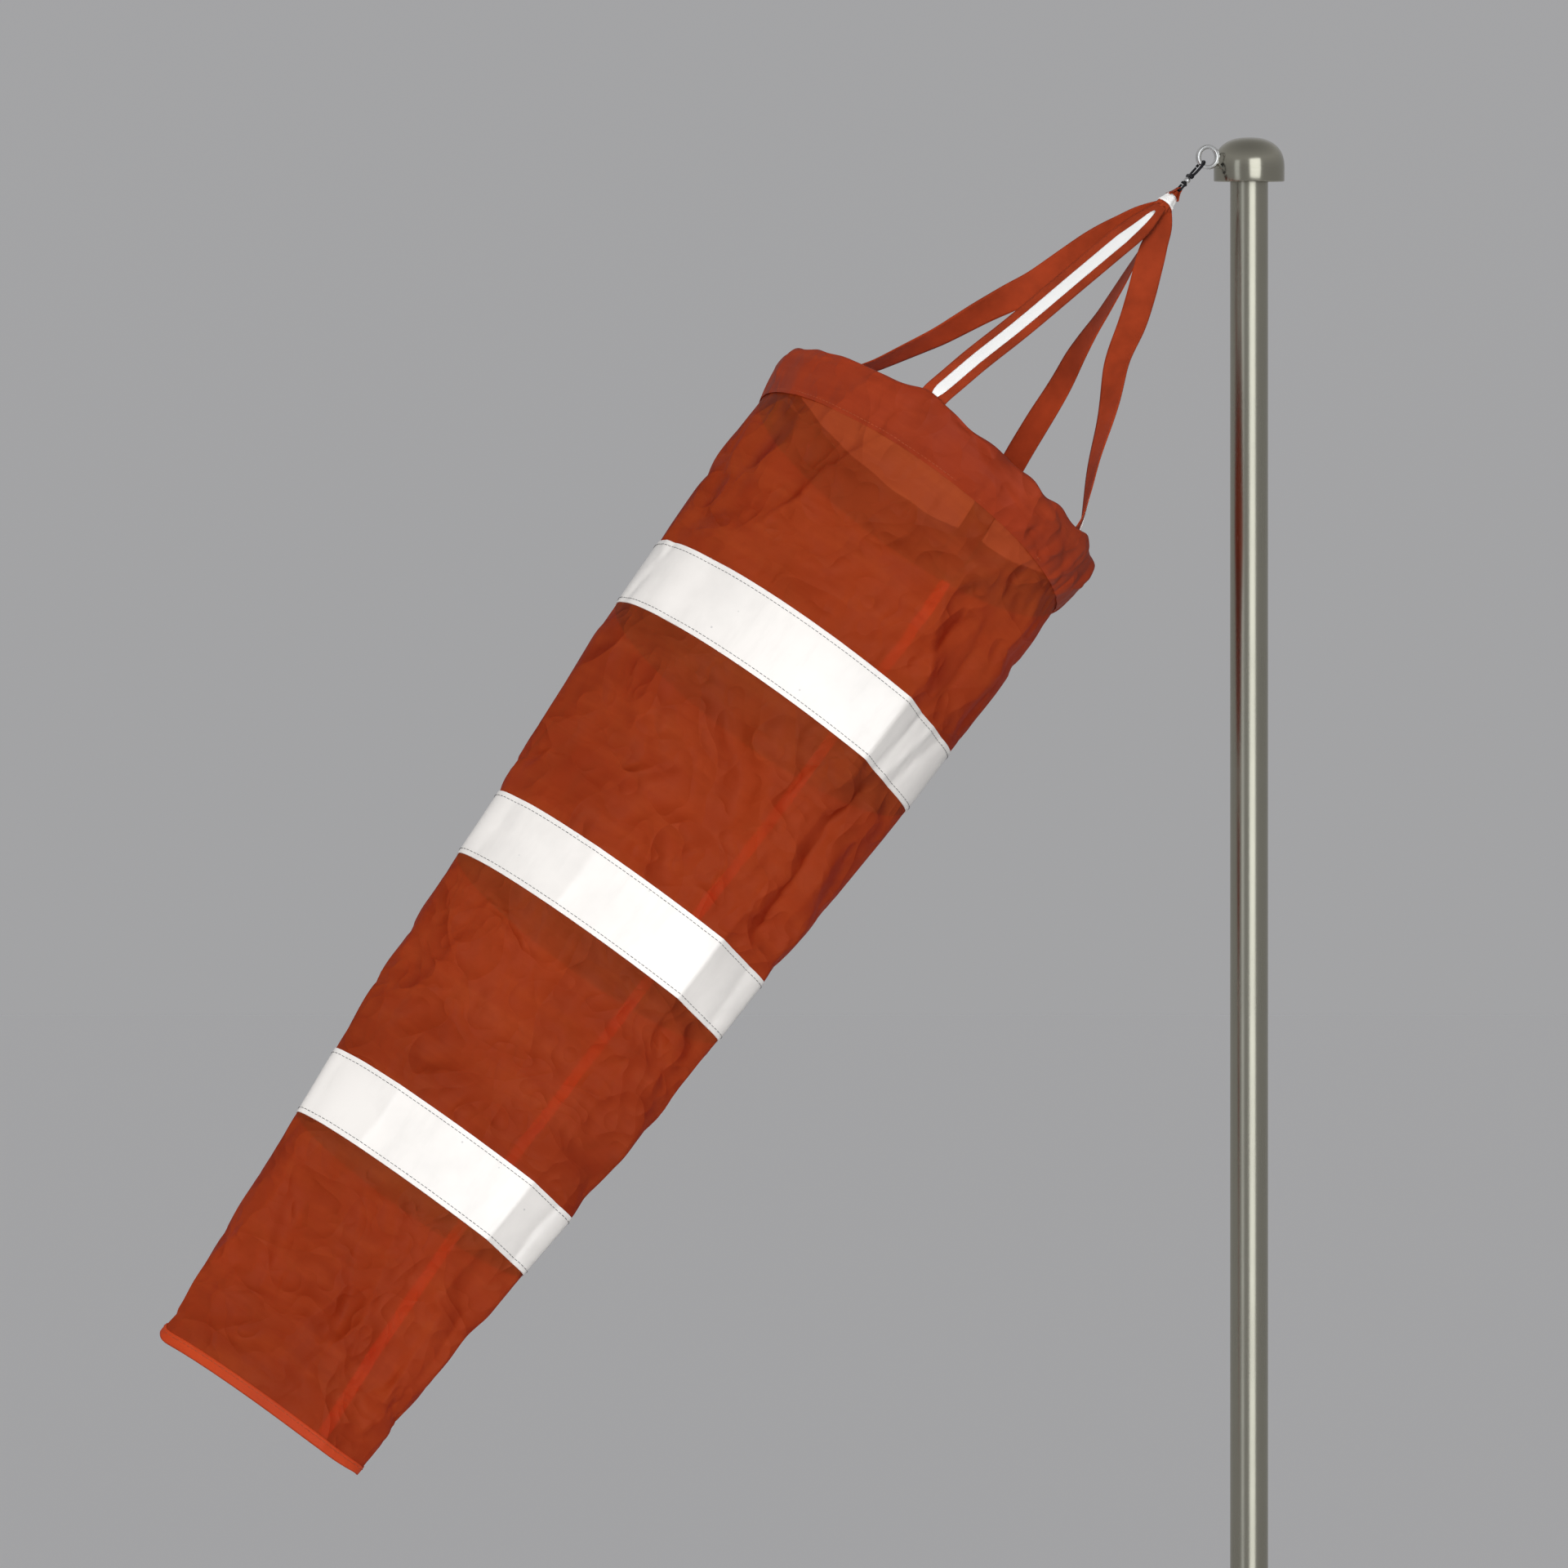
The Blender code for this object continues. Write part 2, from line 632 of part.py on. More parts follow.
def sleeve_of(profile):
    """A closed profile of (distance, proud) carried all round the sock."""
    rows = []
    for k in range(SIDES):
        angle = math.tau * k / SIDES
        rows.append([sock_point(distance, angle, proud) for distance, proud in profile])
    return skinned(rows, loop=True)


def wall_profile(stops, thickness=WALL, proud=0.0):
    """A wall along the stops, each a distance or a (distance, proud) pair."""
    pairs = [stop if isinstance(stop, tuple) else (stop, proud) for stop in stops]
    outside = [(distance, height + thickness / 2) for distance, height in pairs]
    inside = [(distance, height - thickness / 2) for distance, height in reversed(pairs)]
    return outside + inside


def make_mouth(frame):
    profile = []
    for k in range(SIDES):
        angle = math.tau * k / SIDES
        row = []
        for j in range(8):
            turn = math.tau * j / 8
            row.append(sock_point(HOOP_AT - HOOP_WIRE * math.sin(turn), angle, HOOP_WIRE * math.cos(turn)))
        profile.append(row)
    add("mouth_hoop", skinned(profile, loop=True), (STEEL, 0.3, 1.0), frame)

    # The sleeve folds over the hoop and grips the sock's front edge between its two legs.
    far, near = 3.3 * MM, 2.5 * MM
    legs = 14 * MM
    outer = [(SLEEVE_END, 1.8 * MM), (legs, 2.0 * MM), (9 * MM, far)]
    inner = [(9 * MM, near), (legs, 1.1 * MM), (SLEEVE_END, 0.9 * MM)]
    outer_arc, inner_arc = [], []
    for k in range(1, 4):
        angle = math.pi * k / 4
        outer_arc.append((HOOP_AT - far * math.sin(angle), far * math.cos(angle)))
        inner_arc.append((HOOP_AT - near * math.sin(angle), near * math.cos(angle)))
    mirrored_outer = [(distance, -proud) for distance, proud in reversed(outer)]
    mirrored_inner = [(distance, -proud) for distance, proud in reversed(inner)]
    profile = outer + outer_arc + mirrored_outer + mirrored_inner + inner_arc[::-1] + inner
    add("mouth_sleeve", sleeve_of(profile), (NYLON, 0.8), frame)


def band(name, start, end, parent, location=(0, 0, 0), finish=(SILVER, 0.35)):
    proud = WALL / 2 + 3 * GAP + SKIN / 2
    add(name, sleeve_of(wall_profile((start, end), SKIN, proud)), finish, parent, location)


def seam(name, stops, parent, location=(0, 0, 0)):
    """The felled seam, a strip along the inside of the wall."""
    rows = []
    wide = outline_at(stops[0])[0]
    spread = SEAM_WIDTH / 2 / wide
    proud = -(WALL / 2 + 4 * GAP)
    for distance in stops:
        corners = ((-spread, proud), (spread, proud), (spread, proud - SKIN), (-spread, proud - SKIN))
        rows.append([sock_point(distance, SEAM_ANGLE + turn, height) for turn, height in corners])
    add(name, skinned(rows), (NYLON, 0.8), parent, location)


def make_sock(frame):
    make_mouth(frame)
    first, second, third = BANDS
    overlap = 16 * MM
    stops = [HOOP_AT + 3.5 * MM, SLEEVE_END, 80 * MM, 117 * MM, first]
    stops += [first + BAND_WIDTH, 245 * MM, DROOP_AT + overlap]
    add("sock_front", sleeve_of(wall_profile(stops)), (NYLON, 0.8), frame)
    band("reflective_band_1", first, first + BAND_WIDTH, frame)
    seam("seam_front", [40 * MM, 80 * MM, 117 * MM, first, first + BAND_WIDTH, 240 * MM], frame)

    # The rear part starts inside the front part, so that it can droop about a point on the axis.
    pivot = empty("sock_droop_pivot", (0, 0, -DROOP_AT), parent=frame)
    back = (0, 0, DROOP_AT)
    nested = -9 * MM
    stops = [(DROOP_AT - overlap, nested), (318 * MM, nested), (345 * MM, 0)]
    stops += [(second, 0), (second + BAND_WIDTH, 0), (482 * MM, 0)]
    stops += [(third, 0), (third + BAND_WIDTH, 0), (700 * MM, 0)]
    hem = SOCK_LENGTH - SEAM_WIDTH
    stops += [(hem, 0), (SOCK_LENGTH, 0)]
    add("sock_rear", sleeve_of(wall_profile(stops)), (NYLON, 0.8), pivot, back)
    band("reflective_band_2", second, second + BAND_WIDTH, pivot, back)
    band("reflective_band_3", third, third + BAND_WIDTH, pivot, back)
    band("tail_hem", hem, SOCK_LENGTH, pivot, back, (NYLON, 0.8))
    rear = [second, second + BAND_WIDTH, 482 * MM, third, third + BAND_WIDTH, 700 * MM]
    rear.append(SOCK_LENGTH - 2 * MM)
    seam("seam_rear", rear, pivot, back)


def strap_stations(angle):
    """Points down one strap's middle, with its outward and sideways directions and its width."""
    lean = BRIDLE_TILT - SOCK_TILT
    up = Vector((math.sin(lean), 0, math.cos(lean)))
    right = Vector((math.cos(lean), 0, -math.sin(lean)))
    turn = angle + SOCK_TWIST
    out_top = right * math.cos(turn) - Vector((0, math.sin(turn), 0))
    start_radius = 3.9 * MM
    start = up * (BRIDLE_LENGTH - STRAP_START) + out_top * start_radius
    rim = sock_point(0, angle, -5.6 * MM) + Vector((0, 0, 3 * MM))
    side = Vector((-math.sin(turn), -math.cos(turn), 0))
    stations = []
    count = 9
    for k in range(count + 1):
        share = (k / count) ** 1.5
        radius = start_radius + share * (rim.xy.length - start_radius)
        width = min(STRAP_WIDTH, 1.5 * (radius - 0.7 * MM))
        stations.append((start.lerp(rim, share), width))
    for distance, proud in ((9, -5.8), (18, -4.6), (30, -4.4)):
        stations.append((sock_point(distance * MM, angle, proud * MM), STRAP_WIDTH))
    return stations, side


def ribbon(stations, side, thickness, proud):
    rows = []
    for k, (point, width) in enumerate(stations):
        before = stations[max(k - 1, 0)][0]
        after = stations[min(k + 1, len(stations) - 1)][0]
        outward = side.cross(after - before).normalized()
        across = side * width / 2
        low = point + outward * (proud - thickness / 2)
        high = point + outward * (proud + thickness / 2)
        rows.append([low - across, low + across, high + across, high - across])
    return skinned(rows)


def make_straps(frame):
    for k, degrees in enumerate(STRAP_ANGLES):
        stations, side = strap_stations(math.radians(degrees))
        bm = ribbon(stations, side, STRAP_THICKNESS, 0)
        add(f"bridle_strap_{k + 1}", bm, (NYLON, 0.8), frame)
        strip = [(point, min(STRIP_WIDTH, 0.42 * width)) for point, width in stations[1:10]]
        outward = side.cross(stations[9][0] - stations[0][0])
        facing = 1 if outward.dot(stations[9][0]) > 0 else -1
        proud = facing * (STRAP_THICKNESS / 2 + GAP + STRIP_THICKNESS / 2)
        bm = ribbon(strip, side, STRIP_THICKNESS, proud)
        add(f"strap_reflector_{k + 1}", bm, (SILVER, 0.35), frame)


def main():
    clear_scene()
    make_base()
    make_pole()
    make_head()
    ring_centre = Vector((-RING_REACH, 0, RING_HEIGHT))
    hook_pivot = empty("hook_pivot", ring_centre, BRIDLE_TILT)
    make_hook(hook_pivot)
    make_swivel(hook_pivot)
    make_gather(hook_pivot)
    down = Vector((-math.sin(BRIDLE_TILT), 0, -math.cos(BRIDLE_TILT)))
    sock_frame = empty("sock_frame", ring_centre + down * BRIDLE_LENGTH, SOCK_TILT)
    make_sock(sock_frame)
    make_straps(sock_frame)


main()
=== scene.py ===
"""The looks of a windsock on its pole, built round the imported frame.

Metres, +Z up, in the frame of the CAD model. The sock is one skin of cloth: a grid of rows down the
sock and columns round it, shaped by an outline, a crease and folds, then settled by simulation.
The bands, hem, sleeve, seam and stitches are all laid on that same skin.
"""

import json
import math
import random

import bmesh
import bpy
import numpy as np
from mathutils import Matrix, Vector


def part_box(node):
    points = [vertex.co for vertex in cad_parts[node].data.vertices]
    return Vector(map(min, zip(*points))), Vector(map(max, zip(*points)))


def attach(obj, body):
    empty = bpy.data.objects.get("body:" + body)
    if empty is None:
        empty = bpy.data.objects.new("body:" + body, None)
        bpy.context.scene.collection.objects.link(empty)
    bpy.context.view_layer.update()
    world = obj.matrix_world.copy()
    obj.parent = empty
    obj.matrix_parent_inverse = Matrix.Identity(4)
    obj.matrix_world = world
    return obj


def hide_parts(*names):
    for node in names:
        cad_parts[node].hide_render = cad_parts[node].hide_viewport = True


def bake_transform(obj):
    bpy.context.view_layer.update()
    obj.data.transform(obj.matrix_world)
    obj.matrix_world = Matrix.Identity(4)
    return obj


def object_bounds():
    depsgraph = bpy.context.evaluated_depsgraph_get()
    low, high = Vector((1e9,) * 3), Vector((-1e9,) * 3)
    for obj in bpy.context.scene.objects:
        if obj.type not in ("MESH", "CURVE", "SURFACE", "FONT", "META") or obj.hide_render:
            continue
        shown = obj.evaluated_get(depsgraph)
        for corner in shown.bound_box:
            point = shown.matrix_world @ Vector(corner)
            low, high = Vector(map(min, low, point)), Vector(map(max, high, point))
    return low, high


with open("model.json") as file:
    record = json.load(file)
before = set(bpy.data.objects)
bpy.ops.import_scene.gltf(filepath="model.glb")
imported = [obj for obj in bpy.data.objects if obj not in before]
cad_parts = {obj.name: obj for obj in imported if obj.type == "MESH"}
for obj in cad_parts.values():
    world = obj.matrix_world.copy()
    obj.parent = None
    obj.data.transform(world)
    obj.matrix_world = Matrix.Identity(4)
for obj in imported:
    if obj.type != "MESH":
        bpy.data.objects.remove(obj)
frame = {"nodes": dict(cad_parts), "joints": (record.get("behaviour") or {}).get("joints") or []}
CAD_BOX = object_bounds()

MM = 0.001
JOINTS = {joint["name"]: joint for joint in frame["joints"]}
NODES = frame["nodes"]


# ---------------------------------------------------------------- camera, light and floor

VIEW_AZIMUTH = math.radians(-24)
VIEW_DISTANCE = 32.0
VIEW_WIDTH = 1.0323
VIEW_ACROSS = -0.3062
VIEW_HEIGHT = 1.5742
SENSOR = 36.0
FLOOR_ALBEDO = 0.88
FLOOR_RADIUS = 300
FLOOR_GAP = 0.3 * MM
# The backdrop's brightness at heights above the horizon, as the sine of the elevation. The first
# one meets the floor's.
SKY = ((0.004, 0.366), (0.45, 0.50), (1.0, 0.32))

TO_CAMERA = Vector((math.sin(VIEW_AZIMUTH), -math.cos(VIEW_AZIMUTH), 0))
TO_RIGHT = Vector((math.cos(VIEW_AZIMUTH), math.sin(VIEW_AZIMUTH), 0))
AIM = TO_RIGHT * VIEW_ACROSS + Vector((0, 0, VIEW_HEIGHT))


def placed(name, data):
    """An object in the scene for a mesh, a light or the camera."""
    made = bpy.data.objects.new(name, data)
    bpy.context.collection.objects.link(made)
    return made


def make_camera():
    data = bpy.data.cameras.new("camera")
    data.sensor_width = SENSOR
    data.lens = SENSOR * VIEW_DISTANCE / VIEW_WIDTH
    data.clip_start, data.clip_end = 0.1, 400
    camera = placed("camera", data)
    camera.location = AIM + TO_CAMERA * VIEW_DISTANCE
    camera.rotation_euler = (-TO_CAMERA).to_track_quat("-Z", "Y").to_euler()
    bpy.context.scene.camera = camera


def area_light(name, turn, lift, distance, size, power, tint=(1, 1, 1), mirrored=False, spread=180):
    """A soft box aimed at the sock, turned from the camera's side about the vertical, in degrees.

    A mirrored one is only for reflections in the metal, and the others only light what they fall on.
    """
    data = bpy.data.lights.new(name, "AREA")
    data.shape = "RECTANGLE"
    data.size, data.size_y = size
    data.energy = power
    data.color = tint
    data.spread = math.radians(spread)
    light = placed(name, data)
    turn = VIEW_AZIMUTH + math.radians(turn)
    lift = math.radians(lift)
    flat = Vector((math.sin(turn), -math.cos(turn), 0))
    back = flat * math.cos(lift) + Vector((0, 0, math.sin(lift)))
    light.location = AIM + back * distance
    light.rotation_euler = (-back).to_track_quat("-Z", "Y").to_euler()
    light.visible_camera = False
    light.visible_glossy = mirrored
    light.visible_diffuse = not mirrored


def make_stage():
    world = bpy.data.worlds.new("studio")
    bpy.context.scene.world = world
    world.use_nodes = True
    tree = world.node_tree
    sky = tree.nodes["Background"]
    coordinates = tree.nodes.new("ShaderNodeTexCoord")
    parts = tree.nodes.new("ShaderNodeSeparateXYZ")
    tree.links.new(coordinates.outputs["Generated"], parts.inputs[0])
    ramp = tree.nodes.new("ShaderNodeValToRGB")
    stops = ramp.color_ramp.elements
    stops.new(0.5)
    for stop, (height, level) in zip(stops, SKY):
        stop.position = height
        stop.color = (level, level, level * 1.02, 1)
    tree.links.new(parts.outputs["Z"], ramp.inputs[0])
    tree.links.new(ramp.outputs[0], sky.inputs["Color"])

    bm = bmesh.new()
    bmesh.ops.create_circle(bm, cap_ends=True, segments=96, radius=FLOOR_RADIUS)
    mesh = bpy.data.meshes.new("floor")
    bm.to_mesh(mesh)
    bm.free()
    floor = placed("floor", mesh)
    floor.location.z = CAD_BOX[0].z - FLOOR_GAP
    paint = bpy.data.materials.new("floor_paint")
    paint.use_nodes = True
    shader = paint.node_tree.nodes["Principled BSDF"]
    shader.inputs["Base Color"].default_value = (FLOOR_ALBEDO,) * 3 + (1,)
    shader.inputs["Roughness"].default_value = 0.9
    shader.inputs["Specular IOR Level"].default_value = 0.1
    mesh.materials.append(paint)

    # Each light's turn and lift in degrees, distance, size, power and tint
    area_light("key", -6, 9, 3.6, (1.1, 1.1), 22.5, (1, 0.985, 0.965), spread=80)
    area_light("rim", 158, 38, 3.4, (1.4, 1.4), 16)
    area_light("panel", 24, 8, 3.4, (2.1, 2.8), 36, (0.93, 0.965, 1), True)
    area_light("side", -36, 3, 3.4, (1.0, 2.8), 6, (0.86, 0.92, 1), True)


make_camera()
make_stage()
bpy.context.scene.view_settings.view_transform = "Standard"


# ---------------------------------------------------------------- materials


class Finish:
    """A material built of nodes, with short ways to make and join them."""

    def __init__(self, name, roughness=0.5, metallic=0.0):
        self.made = bpy.data.materials.new(name)
        self.made.use_nodes = True
        self.tree = self.made.node_tree
        self.shader = self.tree.nodes["Principled BSDF"]
        self.output = self.tree.nodes["Material Output"]
        self.set("Roughness", roughness)
        self.set("Metallic", metallic)

    def join(self, value, socket):
        """A node's output is linked, and a constant goes on the socket itself."""
        if hasattr(value, "is_output"):
            self.tree.links.new(value, socket)
        elif socket.type == "RGBA":
            socket.default_value = (*value, 1)
        else:
            socket.default_value = value

    def set(self, name, value):
        self.join(value, self.shader.inputs[name])

    def node(self, kind, inputs=None, **settings):
        made = self.tree.nodes.new("ShaderNode" + kind)
        for name, value in settings.items():
            setattr(made, name, value)
        for name, value in (inputs or {}).items():
            self.join(value, made.inputs[name])
        return made

    def place(self, scale=(1, 1, 1), of="Object"):
        """Coordinates in metres, stretched: Object for solid pieces, UV along the threads of cloth."""
        source = self.node("TexCoord").outputs[of]
        return self.node("Mapping", {"Vector": source, "Scale": scale}).outputs["Vector"]

    def noise(self, place, scale, detail=2.0, rough=0.5):
        inputs = {"Vector": place, "Scale": scale, "Detail": detail, "Roughness": rough}
        return self.node("TexNoise", inputs).outputs["Fac"]

    def cells(self, place, scale):
        return self.node("TexVoronoi", {"Vector": place, "Scale": scale}).outputs["Distance"]

    def span(self, value, low, high, start=0.0, end=1.0):
        """Low where the value is start, high where it is end."""
        inputs = {"Value": value, "From Min": start, "From Max": end, "To Min": low, "To Max": high}
        return self.node("MapRange", inputs).outputs["Result"]

    def math(self, operation, a, b=0.0):
        return self.node("Math", {0: a, 1: b}, operation=operation).outputs[0]

    def mix(self, share, a, b):
        return self.node("Mix", {0: share, 6: a, 7: b}, data_type="RGBA").outputs[2]

    def bump(self, height, distance, strength=1.0, under=None):
        inputs = {"Height": height, "Distance": distance, "Strength": strength}
        if under is not None:
            inputs["Normal"] = under
        return self.node("Bump", inputs).outputs["Normal"]


def times(colour, share):
    return tuple(c * share for c in colour)


def steel(name, colour, roughness, along=(1, 1, 1), grain=1.0):
    """Stainless steel with fine polishing lines; along stretches them."""
    finish = Finish(name, roughness, 1.0)
    lines = finish.noise(finish.place(along), 900 * grain, 3, 0.65)
    clouds = finish.noise(finish.place(), 22, 4, 0.6)
    dulled = finish.mix(finish.span(clouds, 0, 0.22, 0.35, 0.7), colour, times(colour, 0.78))
    finish.set("Base Color", finish.mix(finish.span(lines, 0, 0.10), dulled, times(colour, 0.7)))
    cloudy = finish.span(clouds, roughness - 0.03, roughness + 0.05)
    finish.set("Roughness", finish.math("ADD", finish.span(lines, -0.03, 0.05), cloudy))
    finish.set("Normal", finish.bump(lines, 0.012 * MM, 0.25))
    return finish.made


def black_metal(name):
    finish = Finish(name, 0.4, 0.85)
    clouds = finish.noise(finish.place(), 700, 3)
    worn = finish.span(finish.noise(finish.place(), 260, 4, 0.7), 0, 1, 0.58, 0.72)
    finish.set("Base Color", finish.mix(worn, (0.020, 0.020, 0.024), (0.13, 0.12, 0.11)))
    finish.set("Roughness", finish.span(clouds, 0.28, 0.5))
    finish.set("Normal", finish.bump(clouds, 0.03 * MM, 0.4))
    return finish.made


def brass(name):
    finish = Finish(name, 0.35, 1.0)
    clouds = finish.noise(finish.place(), 500, 3)
    finish.set("Base Color", finish.mix(clouds, (0.62, 0.45, 0.19), (0.48, 0.33, 0.13)))
    finish.set("Roughness", finish.span(clouds, 0.25, 0.45))
    return finish.made


def weave(finish, pitch):
    """The height of threads that go over and under each other along the cloth's own U and V."""
    place = finish.place((1 / pitch,) * 3, "UV")
    parts = finish.node("SeparateXYZ", {"Vector": place})
    rounds = []
    for axis in ("X", "Y"):
        turn = finish.math("MULTIPLY", parts.outputs[axis], math.pi)
        rounds.append(finish.math("ABSOLUTE", finish.math("SINE", turn)))
    checker = finish.node("TexChecker", {"Vector": place, "Scale": 1.0}).outputs["Fac"]
    return finish.node("Mix", {0: checker, 2: rounds[0], 3: rounds[1]}).outputs[0]


NYLON_THREAD = 0.34 * MM
RIBBON_THREAD = 0.45 * MM
# The colour that sight takes on through one layer of the nylon
SIGHT_TINT = (0.86, 0.11, 0.04)


def nylon(name, colour, see_through, glow, crumple=1.0):
    """Thin coated nylon: it is lit from in front, glows from behind and lets a little sight through."""
    finish = Finish(name)
    solid = finish.place()
    # The clouds darken the cloth in random patches, a painted shade of crumples
    clouds = finish.noise(solid, 7, 3, 0.55)
    # Paler streaks along the sock, a painted sheen on the folds
    painted_sheen_streaks = finish.noise(finish.place((9, 55, 1), "UV"), 1.0, 3, 0.6)
    mottle = finish.noise(solid, 130, 3, 0.7)
    threads = weave(finish, NYLON_THREAD)
    deep = times(colour, 0.66)
    painted_sheen_colour = tuple(min(1, c * f) for c, f in zip(colour, (1.22, 1.5, 1.6)))
    # Painted light: the tone goes darker with the clouds (painted crumple shade) and paler along the streaks
    # (painted sheen)
    tone = finish.mix(finish.span(clouds, 0, 1, 0.3, 0.72), deep, colour)
    tone = finish.mix(finish.span(painted_sheen_streaks, 0, 0.5, 0.45, 0.8), tone, painted_sheen_colour)
    tone = finish.mix(finish.span(mottle, 0, 0.22, 0.4, 0.75), tone, deep)
    tone = finish.mix(finish.span(threads, 0.14, 0), tone, deep)
    ridges = {"Vector": solid, "Scale": 17.0, "Detail": 2.5, "Roughness": 0.45, "Offset": 1.0, "Gain": 2.0}
    crinkle = finish.node("TexNoise", ridges, noise_type="RIDGED_MULTIFRACTAL").outputs["Fac"]
    soft = finish.bump(crinkle, 9.0 * MM * crumple, 0.85)
    fine = finish.bump(finish.noise(solid, 240, 3, 0.6), 0.12 * MM * crumple, 0.2, soft)
    surface = finish.bump(threads, 0.025 * MM, 0.5, fine)
    finish.set("Base Color", tone)
    finish.set("Normal", surface)
    finish.set("Roughness", finish.span(mottle, 0.46, 0.6))
    finish.set("Specular IOR Level", 0.24)
    behind = finish.node("BsdfTranslucent", {"Color": tone, "Normal": surface})
    lit = finish.node("MixShader", {0: glow, 1: finish.shader.outputs[0], 2: behind.outputs[0]})
    clear = finish.node("BsdfTransparent", {"Color": SIGHT_TINT})
    whole = finish.node("MixShader", {0: see_through, 1: lit.outputs[0], 2: clear.outputs[0]})
    finish.join(whole.outputs[0], finish.output.inputs["Surface"])
    return finish.made


def ribbon_cloth(name, colour):
    finish = Finish(name, 0.6)
    solid = finish.place()
    threads = weave(finish, RIBBON_THREAD)
    deep = times(colour, 0.62)
    tone = finish.mix(finish.span(finish.noise(solid, 35, 4, 0.6), 0, 1, 0.3, 0.7), deep, colour)
    finish.set("Base Color", finish.mix(finish.span(threads, 0.25, 0), tone, deep))
    soft = finish.bump(finish.noise(solid, 90, 3), 0.5 * MM, 0.25)
    finish.set("Normal", finish.bump(threads, 0.05 * MM, 0.6, soft))
    finish.set("Specular IOR Level", 0.12)
    return finish.made


def reflective(name, white, dirt=1.0):
    """Silver tape faced with glass beads: near white, with faint smudges, rubs and specks."""
    finish = Finish(name)
    solid = finish.place()
    clouds = finish.noise(solid, 16, 4, 0.6)
    rubs = finish.noise(finish.place((1, 0.25, 1), "UV"), 60, 4, 0.65)
    specks = finish.cells(solid, 62)
    grey = times(white, 0.80)
    tone = finish.mix(finish.span(clouds, 0, 0.5 * dirt, 0.45, 0.75), white, grey)
    tone = finish.mix(finish.span(rubs, 0, 0.35 * dirt, 0.5, 0.75), tone, grey)
    tone = finish.mix(finish.span(specks, 0.55 * dirt, 0, 0.03, 0.055), tone, (0.35, 0.35, 0.36))
    finish.set("Base Color", tone)
    finish.set("Metallic", finish.span(clouds, 0.10, 0.22))
    finish.set("Roughness", finish.span(rubs, 0.36, 0.5))
    soft = finish.bump(finish.noise(solid, 55, 3, 0.6), 0.5 * MM, 0.12)
    finish.set("Normal", finish.bump(finish.cells(solid, 2200), 0.02 * MM, 0.12, soft))
    finish.set("Coat Weight", 0.15)
    finish.set("Coat Roughness", 0.25)
    return finish.made


def thread(name, colour):
    finish = Finish(name, 0.7)
    twist = finish.noise(finish.place(), 1800, 2)
    finish.set("Base Color", finish.mix(twist, colour, times(colour, 0.6)))
    finish.set("Normal", finish.bump(twist, 0.05 * MM, 0.5))
    return finish.made


NYLON = (0.435, 0.078, 0.0155)
SATIN = steel("satin_steel", (0.375, 0.36, 0.295), 0.24, (1, 1, 0.02))
TURNED = steel("turned_steel", (0.40, 0.385, 0.33), 0.3, (1, 1, 0.2), 0.6)
POLISHED = steel("polished_steel", (0.37, 0.355, 0.29), 0.16, (0.2, 0.2, 1), 0.8)
BRIGHT = steel("bright_steel", (0.66, 0.66, 0.65), 0.26, (1, 1, 1), 0.8)
BLACK = black_metal("black_oxide")
BRASS = brass("cage_brass")
CLOTH = nylon("sock_nylon", NYLON, 0.46, 0.28)
DOUBLE = nylon("doubled_nylon", (0.44, 0.050, 0.011), 0.14, 0.22, 0.5)
HEM = nylon("hem_nylon", (0.66, 0.068, 0.013), 0.06, 0.20, 0.15)
SEAM_CLOTH = nylon("seam_nylon", (1.0, 0.24, 0.07), 0.0, 0.1, 0.1)
RIBBON = ribbon_cloth("ribbon", (0.36, 0.046, 0.012))
TAPE = reflective("reflective_tape", (0.765, 0.742, 0.718))
STRIP = reflective("reflective_strip", (0.97, 0.97, 0.96), 0.25)
GREY_THREAD = thread("grey_thread", (0.16, 0.16, 0.165))
ORANGE_THREAD = thread("orange_thread", (0.42, 0.075, 0.02))


# ---------------------------------------------------------------- mesh helpers


def finish_piece(name, mesh, material, body=None, slot=None, replaces=(), angle=None):
    """An object for a mesh, smooth, with its material, body and the CAD nodes it stands for; the slot is not
    used.
    """
    mesh.shade_smooth()
    if angle:
        mesh.set_sharp_from_angle(angle=math.radians(angle))
    mesh.materials.append(material)
    made = placed(name, mesh)
    if body:
        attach(made, body)
    if replaces:
        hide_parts(*replaces)
    return made


def grid_mesh(name, points, around=False, uv=None, loop=False):
    """A mesh over rows of points. Around joins the last column to the first, loop the rows."""
    rows, columns = points.shape[:2]
    wide = columns if around else columns - 1
    high = rows if loop else rows - 1
    i, j = np.meshgrid(np.arange(high), np.arange(wide), indexing="ij")
    ni, nj = (i + 1) % rows, (j + 1) % columns
    corners = [(i, j), (ni, j), (ni, nj), (i, nj)]
    faces = np.stack([a * columns + b for a, b in corners], -1).reshape(-1, 4)
    mesh = bpy.data.meshes.new(name)
    mesh.from_pydata(points.reshape(-1, 3).tolist(), [], faces.tolist())
    if uv is not None:
        layer = mesh.uv_layers.new(name="UVMap")
        marks = [(i, j), (i + 1, j), (i + 1, j + 1), (i, j + 1)]
        found = np.stack([uv[a, b] for a, b in marks], 2).reshape(-1, 2)
        layer.data.foreach_set("uv", found.astype(np.float32).ravel())
    mesh.update()
    return mesh


def solid(name, bm):
    """A mesh from a bmesh, with its double points joined and its faces turned outwards."""
    bmesh.ops.remove_doubles(bm, verts=bm.verts, dist=1e-7)
    bmesh.ops.recalc_face_normals(bm, faces=bm.faces)
    mesh = bpy.data.meshes.new(name)
    bm.to_mesh(mesh)
    bm.free()
    return mesh


def welded(name, points, loop):
    """A closed shape from rows of points round it."""
    mesh = grid_mesh(name, points, around=True, loop=loop)
    bm = bmesh.new()
    bm.from_mesh(mesh)
    bpy.data.meshes.remove(mesh)
    return solid(name, bm)


